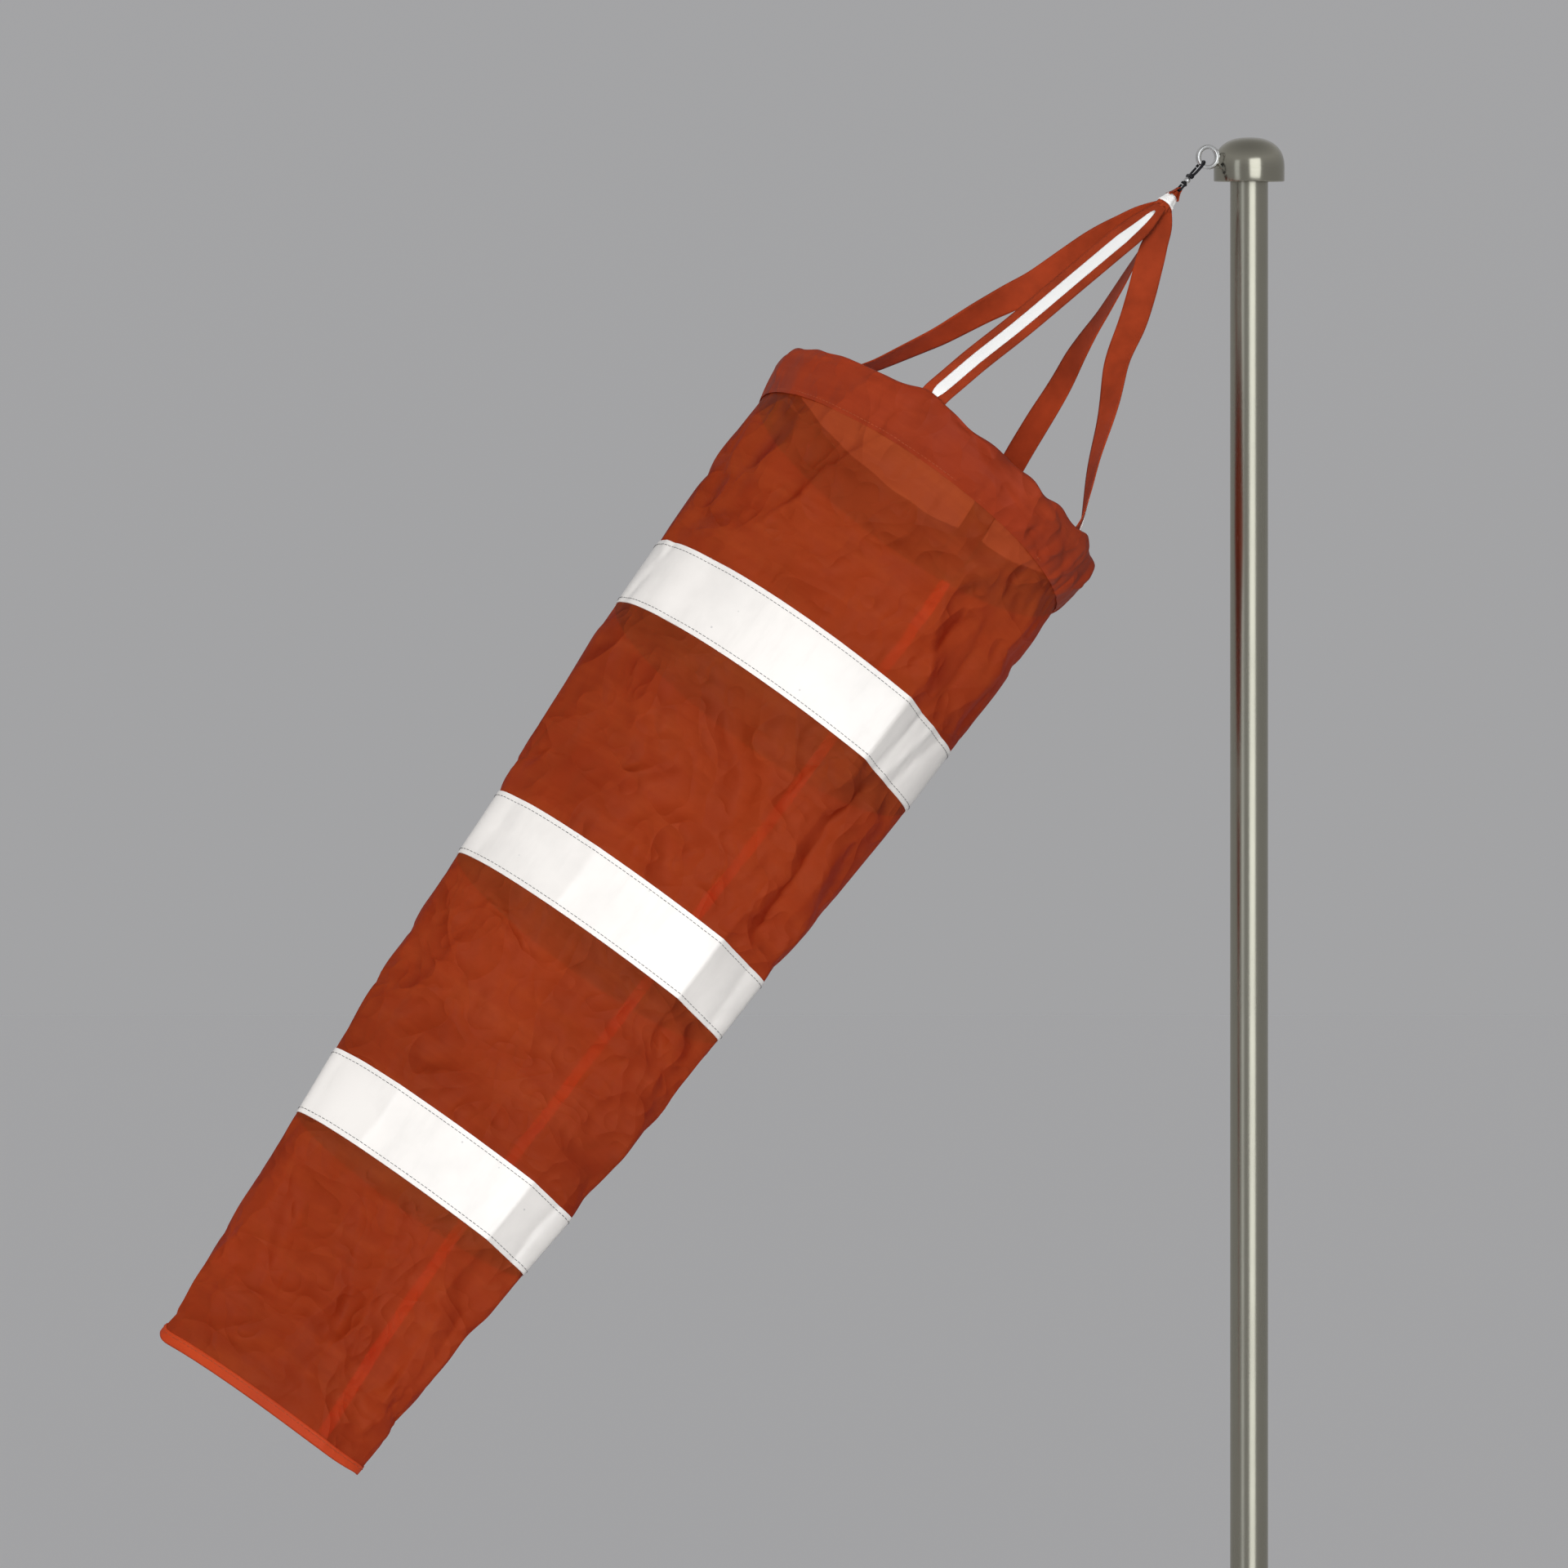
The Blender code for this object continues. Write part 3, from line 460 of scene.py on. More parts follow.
def turned_solid(name, profile, steps, closed=True):
    """A profile of (radius, height) turned about Z."""
    radii, heights = np.array(profile, float).T[:, :, None]
    turns = np.arange(steps) * math.tau / steps
    rows = [radii * np.cos(turns), radii * np.sin(turns), np.repeat(heights, steps, 1)]
    return welded(name, np.stack(rows, -1), closed)


def turned_piece(name, profile, steps, *looks, place=None, closed=True):
    """A turned piece; looks are finish_piece's values from the material on."""
    mesh = turned_solid(name, profile, steps, closed)
    if place:
        mesh.transform(place)
    return finish_piece(name, mesh, *looks)


def in_mm(*points):
    return [(radius * MM, height * MM) for radius, height in points]


def arc(middle, radius, start, end, steps):
    """Points at even angles round a middle, with the start and the end in quarter turns."""
    angles = [math.pi / 2 * (start + (end - start) * k / steps) for k in range(steps + 1)]
    return [(middle[0] + radius * math.cos(a), middle[1] + radius * math.sin(a)) for a in angles]


def cut(target, cutter_mesh):
    """Cuts a shape out of a piece and keeps the result as its mesh."""
    cutter = placed("cutter", cutter_mesh)
    step = target.modifiers.new("cut", "BOOLEAN")
    step.object = cutter
    step.solver = "EXACT"
    bpy.context.view_layer.update()
    result = bpy.data.meshes.new_from_object(target.evaluated_get(bpy.context.evaluated_depsgraph_get()))
    target.modifiers.clear()
    target.data = result
    result.shade_smooth()
    result.set_sharp_from_angle(angle=math.radians(30))
    bpy.data.objects.remove(cutter)


def tube_mesh(name, path, radius, sides=20, closed=False):
    """A round wire along a path of points; radius is one value or one for each point."""
    path = [Vector(point) for point in path]
    count = len(path)
    radii = radius if hasattr(radius, "__len__") else [radius] * count
    turns = [math.tau * j / sides for j in range(sides)]
    across = None
    rows = []
    for k, point in enumerate(path):
        before = path[k - 1] if closed or k else path[0]
        after = path[(k + 1) % count] if closed or k < count - 1 else path[-1]
        ahead = (after - before).normalized()
        if across is None:
            across = ahead.orthogonal().normalized()
        across = (across - ahead * across.dot(ahead)).normalized()
        up = ahead.cross(across)
        rows.append([point + (across * math.cos(t) + up * math.sin(t)) * radii[k] for t in turns])
    if not closed:
        rows = [[path[0]] * sides] + rows + [[path[-1]] * sides]
    return welded(name, np.array([[tuple(p) for p in row] for row in rows]), closed)


# ---------------------------------------------------------------- pole and foot

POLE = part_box("pole_tube")
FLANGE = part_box("base_flange")
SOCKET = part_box("pole_socket")
POLE_RADIUS = POLE[1].x
BOLT_CIRCLE = 80 * MM
BOLT_HOLE = 5.5 * MM
BOLTS = 4
SOCKET_RADIUS = 17 * MM
GRUB_SCREWS = 3


def make_flange():
    low, high = FLANGE[0].z, FLANGE[1].z
    radius = FLANGE[1].x
    edge, bevel = 1.2 * MM, 0.8 * MM
    profile = [(0, low), (radius - 0.5 * MM, low), (radius, low + 0.5 * MM), (radius, high - edge)]
    profile += [(radius - 0.3 * MM, high - 0.4 * MM), (radius - edge, high), (0, high)]
    looks = TURNED, "mast", "satin_stainless", ["base_flange"], 30
    flange = turned_piece("flange_plate", profile, 160, *looks)
    wide = BOLT_HOLE + bevel
    profile = [(0, low - MM), (BOLT_HOLE, low - MM), (BOLT_HOLE, high - bevel), (wide, high)]
    profile += [(wide, high + MM), (0, high + MM)]
    for k in range(BOLTS):
        angle = math.tau * (k + 0.5) / BOLTS
        hole = turned_solid("hole", profile, 48)
        hole.transform(Matrix.Translation(Vector((math.cos(angle), math.sin(angle), 0)) * BOLT_CIRCLE))
        cut(flange, hole)


def make_socket():
    """The collar that the tube stands in, flared at its foot, with its grub screws and its weld."""
    inner, outer = POLE_RADIUS + 0.25 * MM, SOCKET_RADIUS
    top, foot = SOCKET[1].z, SOCKET[0].z
    flare = SOCKET[1].x - outer
    rounding, skirt = 1.2 * MM, 1.2 * MM
    profile = [(inner, foot), (inner, top - 0.6 * MM), (inner + 0.6 * MM, top), (outer - rounding, top)]
    profile += arc((outer - rounding, top - rounding), rounding, 1, 0, 5)[1:]
    profile += arc((outer + flare, foot + skirt + flare), flare, 2, 3, 8)
    profile.append((outer + flare, foot))
    looks = TURNED, "mast", "satin_stainless", ["pole_socket"], 30
    socket = turned_piece("socket_collar", profile, 128, *looks)
    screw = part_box("socket_screw_1")
    height = (screw[0].z + screw[1].z) / 2
    shank = (screw[1].z - screw[0].z) / 2
    wide, reach = shank + 0.4 * MM, 30 * MM
    for k in range(GRUB_SCREWS):
        turn = math.tau * k / GRUB_SCREWS + math.pi
        hole = turned_solid("hole", [(0, 0), (wide, 0), (wide, reach), (0, reach)], 40)
        hole.transform(side_matrix(turn, height))
        cut(socket, hole)
        make_grub_screw(f"grub_screw_{k + 1}", f"socket_screw_{k + 1}", shank, turn, height)
    make_weld("socket_weld", SOCKET[1].x + 0.2 * MM, FLANGE[1].z + 0.2 * MM)


def side_matrix(turn, height):
    """Stands a piece made along Z out sideways from the pole, at a turn about it and a height."""
    turned = Matrix.Translation((0, 0, height)) @ Matrix.Rotation(turn, 4, "Z")
    return turned @ Matrix.Rotation(math.pi / 2, 4, "Y")


def make_grub_screw(name, node, radius, turn, height):
    """A grub screw: a thread in plain turns, a chamfered end and a round recess for the key."""
    inner, outer = POLE_RADIUS + 0.1 * MM, 19 * MM
    pitch, deep = 1.0 * MM, 0.35 * MM
    recess, recess_deep = 2.3 * MM, 3 * MM
    profile = [(0, inner), (radius - 0.8 * MM, inner)]
    at = inner + 0.6 * MM
    while at < outer - 0.8 * MM:
        profile += [(radius - deep, at), (radius, at + pitch * 0.4), (radius - deep, at + pitch * 0.8)]
        at += pitch
    profile += [(radius - 0.5 * MM, outer), (2.6 * MM, outer), (recess, outer - 0.3 * MM)]
    profile += [(recess, outer - recess_deep), (0, outer - recess_deep)]
    place = side_matrix(turn, height)
    turned_piece(name, profile, 36, BLACK, "mast", "blackened_steel", [node], 40, place=place)


def make_weld(name, radius, height):
    """A weld bead with its overlapping ripples, laid round a foot."""
    random.seed(7)
    steps, ripples = 288, 54
    thick = 1.5 * MM
    path, radii = [], []
    for k in range(steps):
        angle = math.tau * k / steps
        around = radius + random.uniform(-0.06, 0.06) * MM
        path.append((around * math.cos(angle), around * math.sin(angle), height))
        radii.append(thick * (0.8 + 0.25 * abs(math.sin(angle * ripples)) ** 0.7))
    mesh = tube_mesh(name, path, radii, 12, closed=True)
    finish_piece(name, mesh, TURNED, "mast", "satin_stainless")


def make_pole():
    wall = 1.2 * MM
    low, high = POLE[0].z, POLE[1].z
    inner, soft = POLE_RADIUS - wall, 0.25 * MM
    profile = [(inner, low), (inner, high - soft), (inner + soft, high), (POLE_RADIUS - soft, high)]
    profile += [(POLE_RADIUS, high - soft), (POLE_RADIUS, low)]
    turned_piece("pole", profile, 128, SATIN, "mast", "satin_stainless", ["pole_tube"], 30)


# ---------------------------------------------------------------- turning head

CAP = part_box("head_cap")
CAP_RADIUS = CAP[1].x
CAP_SKIRT = 9 * MM
CAP_ROUNDNESS = 2.4
RING = Vector(JOINTS["hook_swing"]["pos_m"])
RING_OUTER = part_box("eye_ring")[1].z - RING.z
RING_INNER = 5.3 * MM
RING_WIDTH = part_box("eye_ring")[1].y * 2


def dome(offset=0.0, points=40):
    rise = CAP[1].z - CAP[0].z - CAP_SKIRT + offset
    line = []
    for k in range(points + 1):
        angle = math.pi / 2 * (1 - k / points)
        radius = (CAP_RADIUS + offset) * max(math.cos(angle), 0) ** (2 / CAP_ROUNDNESS)
        height = CAP[0].z + CAP_SKIRT + rise * math.sin(angle) ** (2 / CAP_ROUNDNESS)
        line.append((0.0 if k == 0 else radius, height))
    return line


def make_cap():
    """The spun cap with a rolled rim, and inside it the hub that holds the bearing."""
    wall = 1.5 * MM
    bottom = CAP[0].z
    hub = 11.8 * MM
    hub_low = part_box("bearing_outer_ring")[0].z - 2.3 * MM
    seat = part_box("bearing_outer_ring")[1].x + 0.2 * MM
    ceiling = CAP[1].z - 3.2 * MM
    profile = dome()
    rim = 1.0 * MM
    for k in range(1, 9):
        angle = math.pi * k / 8
        around = CAP_RADIUS - rim * (1 - math.cos(angle)) * 0.75
        profile.append((around, bottom + rim - rim * math.sin(angle)))
    inside = [point for point in reversed(dome(-wall)) if point[0] > hub + 2 * MM]
    profile += inside
    top = inside[-1][1]
    profile += [(hub + 0.4 * MM, top), (hub, top - MM), (hub, hub_low + 0.4 * MM)]
    profile += [(hub - 0.4 * MM, hub_low), (seat, hub_low), (seat, ceiling), (0, ceiling)]
    looks = POLISHED, "head", "polished_stainless", ["head_cap"], 35
    turned_piece("cap", profile, 160, *looks, closed=False)


def make_eye_ring():
    """The welded ring, turned from bar with softened edges, and the two beads that join it to the cap."""
    half, soft = RING_WIDTH / 2, 1.0 * MM
    profile = []
    corners = ((RING_OUTER, half, 0), (RING_OUTER, -half, 3), (RING_INNER, -half, 2), (RING_INNER, half, 1))
    for radius, height, quarter in corners:
        inward = -soft if radius > (RING_OUTER + RING_INNER) / 2 else soft
        down = -soft if height > 0 else soft
        profile += arc((radius + inward, height + down), soft, quarter + 1, quarter, 4)
    upright = Matrix.Translation(RING) @ Matrix.Rotation(math.pi / 2, 4, "X")
    looks = BRIGHT, "head", "polished_stainless", ["eye_ring"], 40
    turned_piece("ring", profile, 128, *looks, place=upright)
    reach = RING_OUTER - 0.6 * MM
    steps, spread = 12, 38
    for side, word in ((-1, "left"), (1, "right")):
        path, radii = [], []
        for k in range(steps + 1):
            angle = math.radians(-spread + 2 * spread * k / steps)
            out = Vector((math.cos(angle), 0, math.sin(angle))) * reach
            path.append(RING + out + Vector((0, side * (half - 0.3 * MM), 0)))
            thick = (0.55 + 0.12 * math.sin(k * 2.1)) * MM
            radii.append(thick * math.sin(math.pi * (k + 0.6) / 13.2) ** 0.5)
        mesh = tube_mesh("weld", path, radii, 12)
        finish_piece(f"ring_weld_{word}", mesh, BRIGHT, "head", "polished_stainless")


# ---------------------------------------------------------------- hook and swivel

BRIDLE_TILT = math.radians(44)
BRIDLE_UP = Vector((math.sin(BRIDLE_TILT), 0, math.cos(BRIDLE_TILT)))
BRIDLE_SIDE = Vector((math.cos(BRIDLE_TILT), 0, -math.sin(BRIDLE_TILT)))
WORLD_Y = Vector((0, 1, 0))


def on_line(across, along, out=0.0):
    """A point of the hook, across it (along Y), down the bridle's line and out of its plane, in mm."""
    return RING + (WORLD_Y * across - BRIDLE_UP * along + BRIDLE_SIDE * out) * MM


def line_matrix(along, across=0.0):
    """A frame on the bridle's line whose Z points back up it."""
    place = on_line(across, along)
    axes = Matrix((BRIDLE_SIDE, WORLD_Y, BRIDLE_UP)).transposed().to_4x4()
    return Matrix.Translation(place) @ axes


def smooth_path(points, steps=6):
    """A Catmull-Rom curve through points."""
    points = [Vector(point) for point in points]
    full = [points[0] * 2 - points[1]] + points + [points[-1] * 2 - points[-2]]
    path = []
    for k in range(1, len(full) - 2):
        a, b, c, d = full[k - 1 : k + 3]
        for step in range(steps):
            t = step / steps
            place = b * 2 + (c - a) * t
            place += (a * 2 - b * 5 + c * 4 - d) * t**2
            place += (b * 3 - a - c * 3 + d) * t**3
            path.append(0.5 * place)
    path.append(points[-1])
    return path


def rounded_block(name, low, high, soft, place):
    bm = bmesh.new()
    bmesh.ops.create_cube(bm, size=1)
    size = [b - a for a, b in zip(low, high)]
    middle = [(a + b) / 2 for a, b in zip(low, high)]
    bmesh.ops.scale(bm, vec=size, verts=bm.verts)
    bmesh.ops.translate(bm, vec=middle, verts=bm.verts)
    bmesh.ops.bevel(bm, geom=list(bm.edges), offset=soft, segments=4, affect="EDGES", profile=0.5)
    mesh = solid(name, bm)
    mesh.transform(place)
    return mesh


def make_hook():
    bow, top = 3.8, 7.9
    route = [on_line(bow, 9.0)]
    route += [on_line(*point) for point in arc((0, top), bow, 0, -2, 12)]
    route += [on_line(-bow, 13.2), on_line(-3.5, 15.0), on_line(-2.5, 16.8), on_line(-1.4, 17.8)]
    mesh = tube_mesh("wire", smooth_path(route, 4), 0.9 * MM, 24)
    finish_piece("hook", mesh, BLACK, "hook", "blackened_steel", ["snap_hook"], 50)
    base = (-1.6 * MM, -2.7 * MM, -19.2 * MM), (1.6 * MM, 4.4 * MM, -16.4 * MM)
    mesh = rounded_block("base", *base, 0.8 * MM, line_matrix(0))
    finish_piece("hook_base", mesh, BLACK, "hook", "blackened_steel", (), 50)
    rivet = in_mm((0, -1.9), (0.6, -1.9), (0.45, -1.5), (0.45, 1.5), (0.6, 1.9), (0, 1.9))
    place = line_matrix(17.6, 3.4) @ Matrix.Rotation(math.pi / 2, 4, "Y")
    looks = BRIGHT, "hook", "satin_stainless", ["gate_pin"], 40
    turned_piece("gate_rivet", rivet, 24, *looks, place=place)


def make_gate():
    """The sprung gate: its outline, a little smaller on both outer faces."""
    outline = [(-0.6, 16.9), (-0.75, 13.5), (-0.6, 10.2), (0.4, 9.6), (0.7, 10.6), (0.75, 14.0), (0.7, 17.0)]
    rows = []
    for out, share in ((-0.45, 0.85), (-0.55, 1.0), (0.55, 1.0), (0.45, 0.85)):
        rows.append([on_line(3.4 + across * share, along, out) for across, along in outline])
    bm = bmesh.new()
    rings = [[bm.verts.new(point) for point in row] for row in rows]
    bm.faces.new(rings[0])
    bm.faces.new(rings[-1])
    for ring, following in zip(rings, rings[1:]):
        for k in range(len(ring)):
            nearby = (k + 1) % len(ring)
            bm.faces.new((ring[k], ring[nearby], following[nearby], following[k]))
    mesh = solid("gate", bm)
    finish_piece("gate", mesh, BLACK, "gate", "blackened_steel", ["hook_gate"], 30)


def make_swivel():
    middle = line_matrix(0)
    stem = in_mm((0, -19), (0.8, -19), (0.8, -25.6), (1.7, -25.7), (1.5, -26.3), (0, -26.4))
    looks = BRIGHT, "hook", "satin_stainless", ["swivel_pin"], 40
    turned_piece("swivel_stem", stem, 32, *looks, place=middle)
    radius, bore, centre = 2.25 * MM, 0.9 * MM, -21.5 * MM
    profile = arc((0, centre), radius, 0.72, -0.72, 16)
    profile += [(bore, profile[-1][1]), (bore, profile[0][1])]
    looks = BRIGHT, "hook", "polished_stainless", ["swivel_bead"], 50
    turned_piece("bead", profile, 48, *looks, place=middle)

    across, corner, top, bottom = 3.1, 1.6, 24.6, 30.7
    corners = ((across - corner, top + corner, 0), (-across + corner, top + corner, 1))
    corners += ((-across + corner, bottom - corner, 2), (across - corner, bottom - corner, 3))
    route = []
    for y, along, quarter in corners:
        route += [on_line(*point) for point in arc((y, along), corner, -quarter, -quarter - 1, 8)]
    mesh = tube_mesh("eye", route, 0.75 * MM, 20, closed=True)
    finish_piece("swivel_loop", mesh, BLACK, "sock_mouth", "blackened_steel", ["swivel_eye"])
    boss = in_mm((0.9, -25.3), (2.0, -25.3), (2.2, -25.0), (2.2, -24.2), (2.0, -23.9), (0.9, -23.9))
    looks = BLACK, "sock_mouth", "blackened_steel", (), 40
    turned_piece("swivel_boss", boss, 40, *looks, place=middle)


# ---------------------------------------------------------------- the sock's skin

SOCK_TILT = math.radians(38.3)
TWIST = math.radians(19.3)
SOCK_LENGTH = 790 * MM
DROOP_AT = 280 * MM
SOCK_UP = Vector((math.sin(SOCK_TILT), 0, math.cos(SOCK_TILT)))
SOCK_OUT = Vector((math.cos(SOCK_TILT), 0, -math.sin(SOCK_TILT)))
MOUTH = Vector(JOINTS["sock_droop"]["pos_m"]) + SOCK_UP * DROOP_AT
ACROSS = SOCK_OUT * math.cos(TWIST) - WORLD_Y * math.sin(TWIST)
TOWARDS = -SOCK_OUT * math.sin(TWIST) - WORLD_Y * math.cos(TWIST)
HOOP_AT = 6 * MM
HOOP_CLEAR = 3.1 * MM
SLEEVE_END = 35 * MM
BANDS = (155 * MM, 355 * MM, 560 * MM)
BAND_WIDTH = 50 * MM
SEAM_ANGLE = math.radians(-65)
SEAM_WIDTH = 8 * MM
SEAM_WANDER = 13 * MM
STRAP_ANGLES = (206, 104, 293, 27)
STRAP_WIDTH = 19 * MM
STRIP_WIDTH = 7.6 * MM
# Distance from the mouth, half width, half depth on the flatter side, half depth on the fuller side, in mm
OUTLINE = np.array(
    (
        (0, 120.5, 120.5, 120.5),
        (35, 118, 111, 115),
        (80, 119.5, 92, 112),
        (155, 117.5, 66, 108),
        (205, 116.4, 56, 102),
        (280, 112, 44, 92),
        (355, 106.7, 36, 82),
        (405, 104.6, 32, 75),
        (560, 94.9, 25, 54),
        (610, 90.9, 23, 48),
        (790, 79, 22, 4),
    )
) * MM
# Towards the tail the far side's cloth hangs a little shorter, so that its hem lies behind the near one
TAIL_LIFT = 8 * MM
TAIL_FROM = 640 * MM
# The hem's two corners: where they begin, how far each is drawn up, and over how wide an angle
CORNER_FROM = 765 * MM
OUTER_CORNER = (6.5 * MM, math.radians(13))
INNER_CORNER = (5.5 * MM, math.radians(34))
CREASE_ANGLE = math.radians(52)
CREASE_FADE = math.radians(20)
# The crease's strength down the sock: distance in mm, share
CREASE = ((0, 0.0), (40, 0.1), (110, 0.45), (155, 1.0), (205, 1.0), (280, 0.7), (355, 1.0), (405, 1.0),
          (480, 0.6), (560, 0.95), (610, 0.95), (700, 0.45), (790, 0.3))


def outline_at(distance):
    """Half width and the two half depths at distances from the mouth, by a smooth curve."""
    stops = OUTLINE[:, 0]
    k = np.clip(np.searchsorted(stops, distance, "right") - 1, 0, len(stops) - 2)
    span = stops[k + 1] - stops[k]
    share = (distance - stops[k]) / span
    last = len(stops) - 1
    slopes = []
    for end in (k, k + 1):
        low, high = np.maximum(end - 1, 0), np.minimum(end + 1, last)
        slopes.append((OUTLINE[high, 1:] - OUTLINE[low, 1:]) / (stops[high] - stops[low])[..., None])
    square, cube = share**2, share**3
    return (
        (2 * cube - 3 * square + 1)[..., None] * OUTLINE[k, 1:]
        + ((cube - 2 * square + share) * span)[..., None] * slopes[0]
        + (3 * square - 2 * cube)[..., None] * OUTLINE[k + 1, 1:]
        + ((cube - square) * span)[..., None] * slopes[1]
    )


def half_turn(angle):
    """The same angle between minus pi and pi."""
    return np.mod(angle + math.pi, math.tau) - math.pi


def section(distance, angle):
    """Across and depth of the sock's wall. Angle 0 is the pole's side, and 90 degrees the flatter side."""
    sizes = outline_at(distance)
    wide, flat, full = sizes[..., 0], sizes[..., 1], sizes[..., 2]
    sine = np.sin(angle)
    across, depth = wide * np.cos(angle), np.where(sine > 0, flat, full) * sine
    stops = np.array(CREASE)
    strength = np.interp(distance, stops[:, 0] * MM, stops[:, 1])
    # The corner stands out a little; the wall falls straight from it to the side, and eases off the
    # other way.
    turn = half_turn(angle)
    corner_across = wide * math.cos(CREASE_ANGLE) * 1.05
    corner_depth = flat * math.sin(CREASE_ANGLE) * 1.09
    share = np.clip(turn / CREASE_ANGLE, 0, 1)
    falling = (turn > 0) & (turn < CREASE_ANGLE)
    reach = 0.45 * share + 0.55 * (1 - np.cos(share * math.pi / 2))
    chord_across = wide + (corner_across - wide) * reach
    chord_depth = corner_depth * reach
    pull = np.where(falling, strength * (0.35 + 0.65 * share), 0)
    across = across + (chord_across - across) * pull
    depth = depth + (chord_depth - depth) * pull
    beyond = (turn >= CREASE_ANGLE) & (turn < math.pi)
    past = np.where(beyond, np.exp(-(turn - CREASE_ANGLE) / CREASE_FADE), 0)
    across = across + (corner_across - wide * math.cos(CREASE_ANGLE)) * past * strength
    depth = depth + (corner_depth - flat * math.sin(CREASE_ANGLE)) * past * strength
    return across, depth


# How finely the wall's length is run round for a whole row, and for one point
ROW_STEPS = 1441
POINT_STEPS = 721


def wall_run(distance, steps):
    """Angles round the wall from the seam, and the lengths round it up to each of them."""
    turns = SEAM_ANGLE + np.linspace(0, math.tau, steps)
    across, depth = section(np.full_like(turns, distance), turns)
    return turns, np.concatenate(([0], np.cumsum(np.hypot(np.diff(across), np.diff(depth)))))


def in_world(across, depth, distance):
    """Points of the sock from places across it, towards the camera and down it."""
    sideways = np.array(MOUTH) + np.array(ACROSS) * across[..., None]
    return sideways + np.array(TOWARDS) * depth[..., None] - np.array(SOCK_UP) * distance[..., None]


class Skin:
    """The cloth as a grid: rows at distances down the sock, columns at equal lengths round it.

    The first column is the seam.
    """

    def __init__(self, row_gap, columns):
        count = round(SOCK_LENGTH / row_gap) + 1
        self.distances = np.linspace(0, SOCK_LENGTH, count)
        self.columns = columns
        self.angles = np.zeros((count, columns))
        self.lengths = np.zeros(count)
        self.front = np.zeros(count)
        for i, distance in enumerate(self.distances):
            turns, run = wall_run(distance, ROW_STEPS)
            self.lengths[i] = run[-1]
            self.angles[i] = np.interp(np.arange(columns) * run[-1] / columns, run, turns)
            self.front[i] = np.interp(math.pi / 2, turns, run)
        rows = np.repeat(self.distances[:, None], columns, 1)
        across, depth = section(rows, self.angles)
        lift = np.clip((rows - TAIL_FROM) / (SOCK_LENGTH - TAIL_FROM), 0, 1) ** 2 * TAIL_LIFT
        far = np.clip(-np.sin(self.angles), 0, 1) ** 0.5
        low = np.clip((rows - CORNER_FROM) / (SOCK_LENGTH - CORNER_FROM), 0, 1)
        away = (np.mod(self.angles, math.tau) - math.pi, half_turn(self.angles))
        drawn = [np.exp(-((a / wide) ** 2)) * up for a, (up, wide) in zip(away, (OUTER_CORNER, INNER_CORNER))]
        self.points = in_world(across, depth, rows - lift * far - low * (drawn[0] + drawn[1]))
        run = np.arange(columns) * self.lengths[:, None] / columns
        whole = self.lengths[:, None]
        # Length round the wall from the middle of the flatter side, positive away from the pole's side
        self.around = np.mod(run - self.front[:, None] + whole / 2, whole) - whole / 2
        self.rows = rows
        self.refresh()

    def refresh(self):
        """Normals out of the sock, from the points as they now are."""
        down = np.gradient(self.points, axis=0)
        side = np.roll(self.points, -1, 1) - np.roll(self.points, 1, 1)
        normal = np.cross(side, down)
        normal /= np.linalg.norm(normal, axis=-1, keepdims=True)
        centre = self.points.mean(1, keepdims=True)
        if (normal * (self.points - centre)).sum() < 0:
            normal = -normal
        self.normals = normal

    def length_at(self, distance, degrees):
        """The length round the wall, from the flatter side's middle, of a point given by its angle."""
        turns, run = wall_run(distance, POINT_STEPS)
        angle = math.radians(degrees)
        while angle < SEAM_ANGLE:
            angle += math.tau
        while angle > SEAM_ANGLE + math.tau:
            angle -= math.tau
        found = np.interp(angle, turns, run) - np.interp(math.pi / 2, turns, run)
        return (found + run[-1] / 2) % run[-1] - run[-1] / 2

    def push(self, heights):
        self.points = self.points + self.normals * heights[..., None]
        self.refresh()

    def at(self, distance, column, proud=0.0):
        """Points at distances and columns, which may lie between rows and columns."""
        distance, column, proud = np.broadcast_arrays(distance, column, proud)
        row = np.clip(distance / SOCK_LENGTH * (len(self.distances) - 1), 0, len(self.distances) - 1.0001)
        i, j = row.astype(int), np.floor(column).astype(int)
        a, b = (row - i)[..., None], (column - j)[..., None]
        found = []
        for field in (self.points, self.normals):
            upper, lower = (
                field[i + down, j % self.columns] * (1 - b) + field[i + down, (j + 1) % self.columns] * b
                for down in (0, 1)
            )
            found.append(upper * (1 - a) + lower * a)
        return found[0] + found[1] * proud[..., None]

    def column_of(self, distance, degrees):
        """The column, as a fraction, nearest an angle at a distance down the sock."""
        length = self.length_at(distance, degrees)
        whole = np.interp(distance, self.distances, self.lengths)
        front = np.interp(distance, self.distances, self.front)
        return ((length + front) % whole) / whole * self.columns


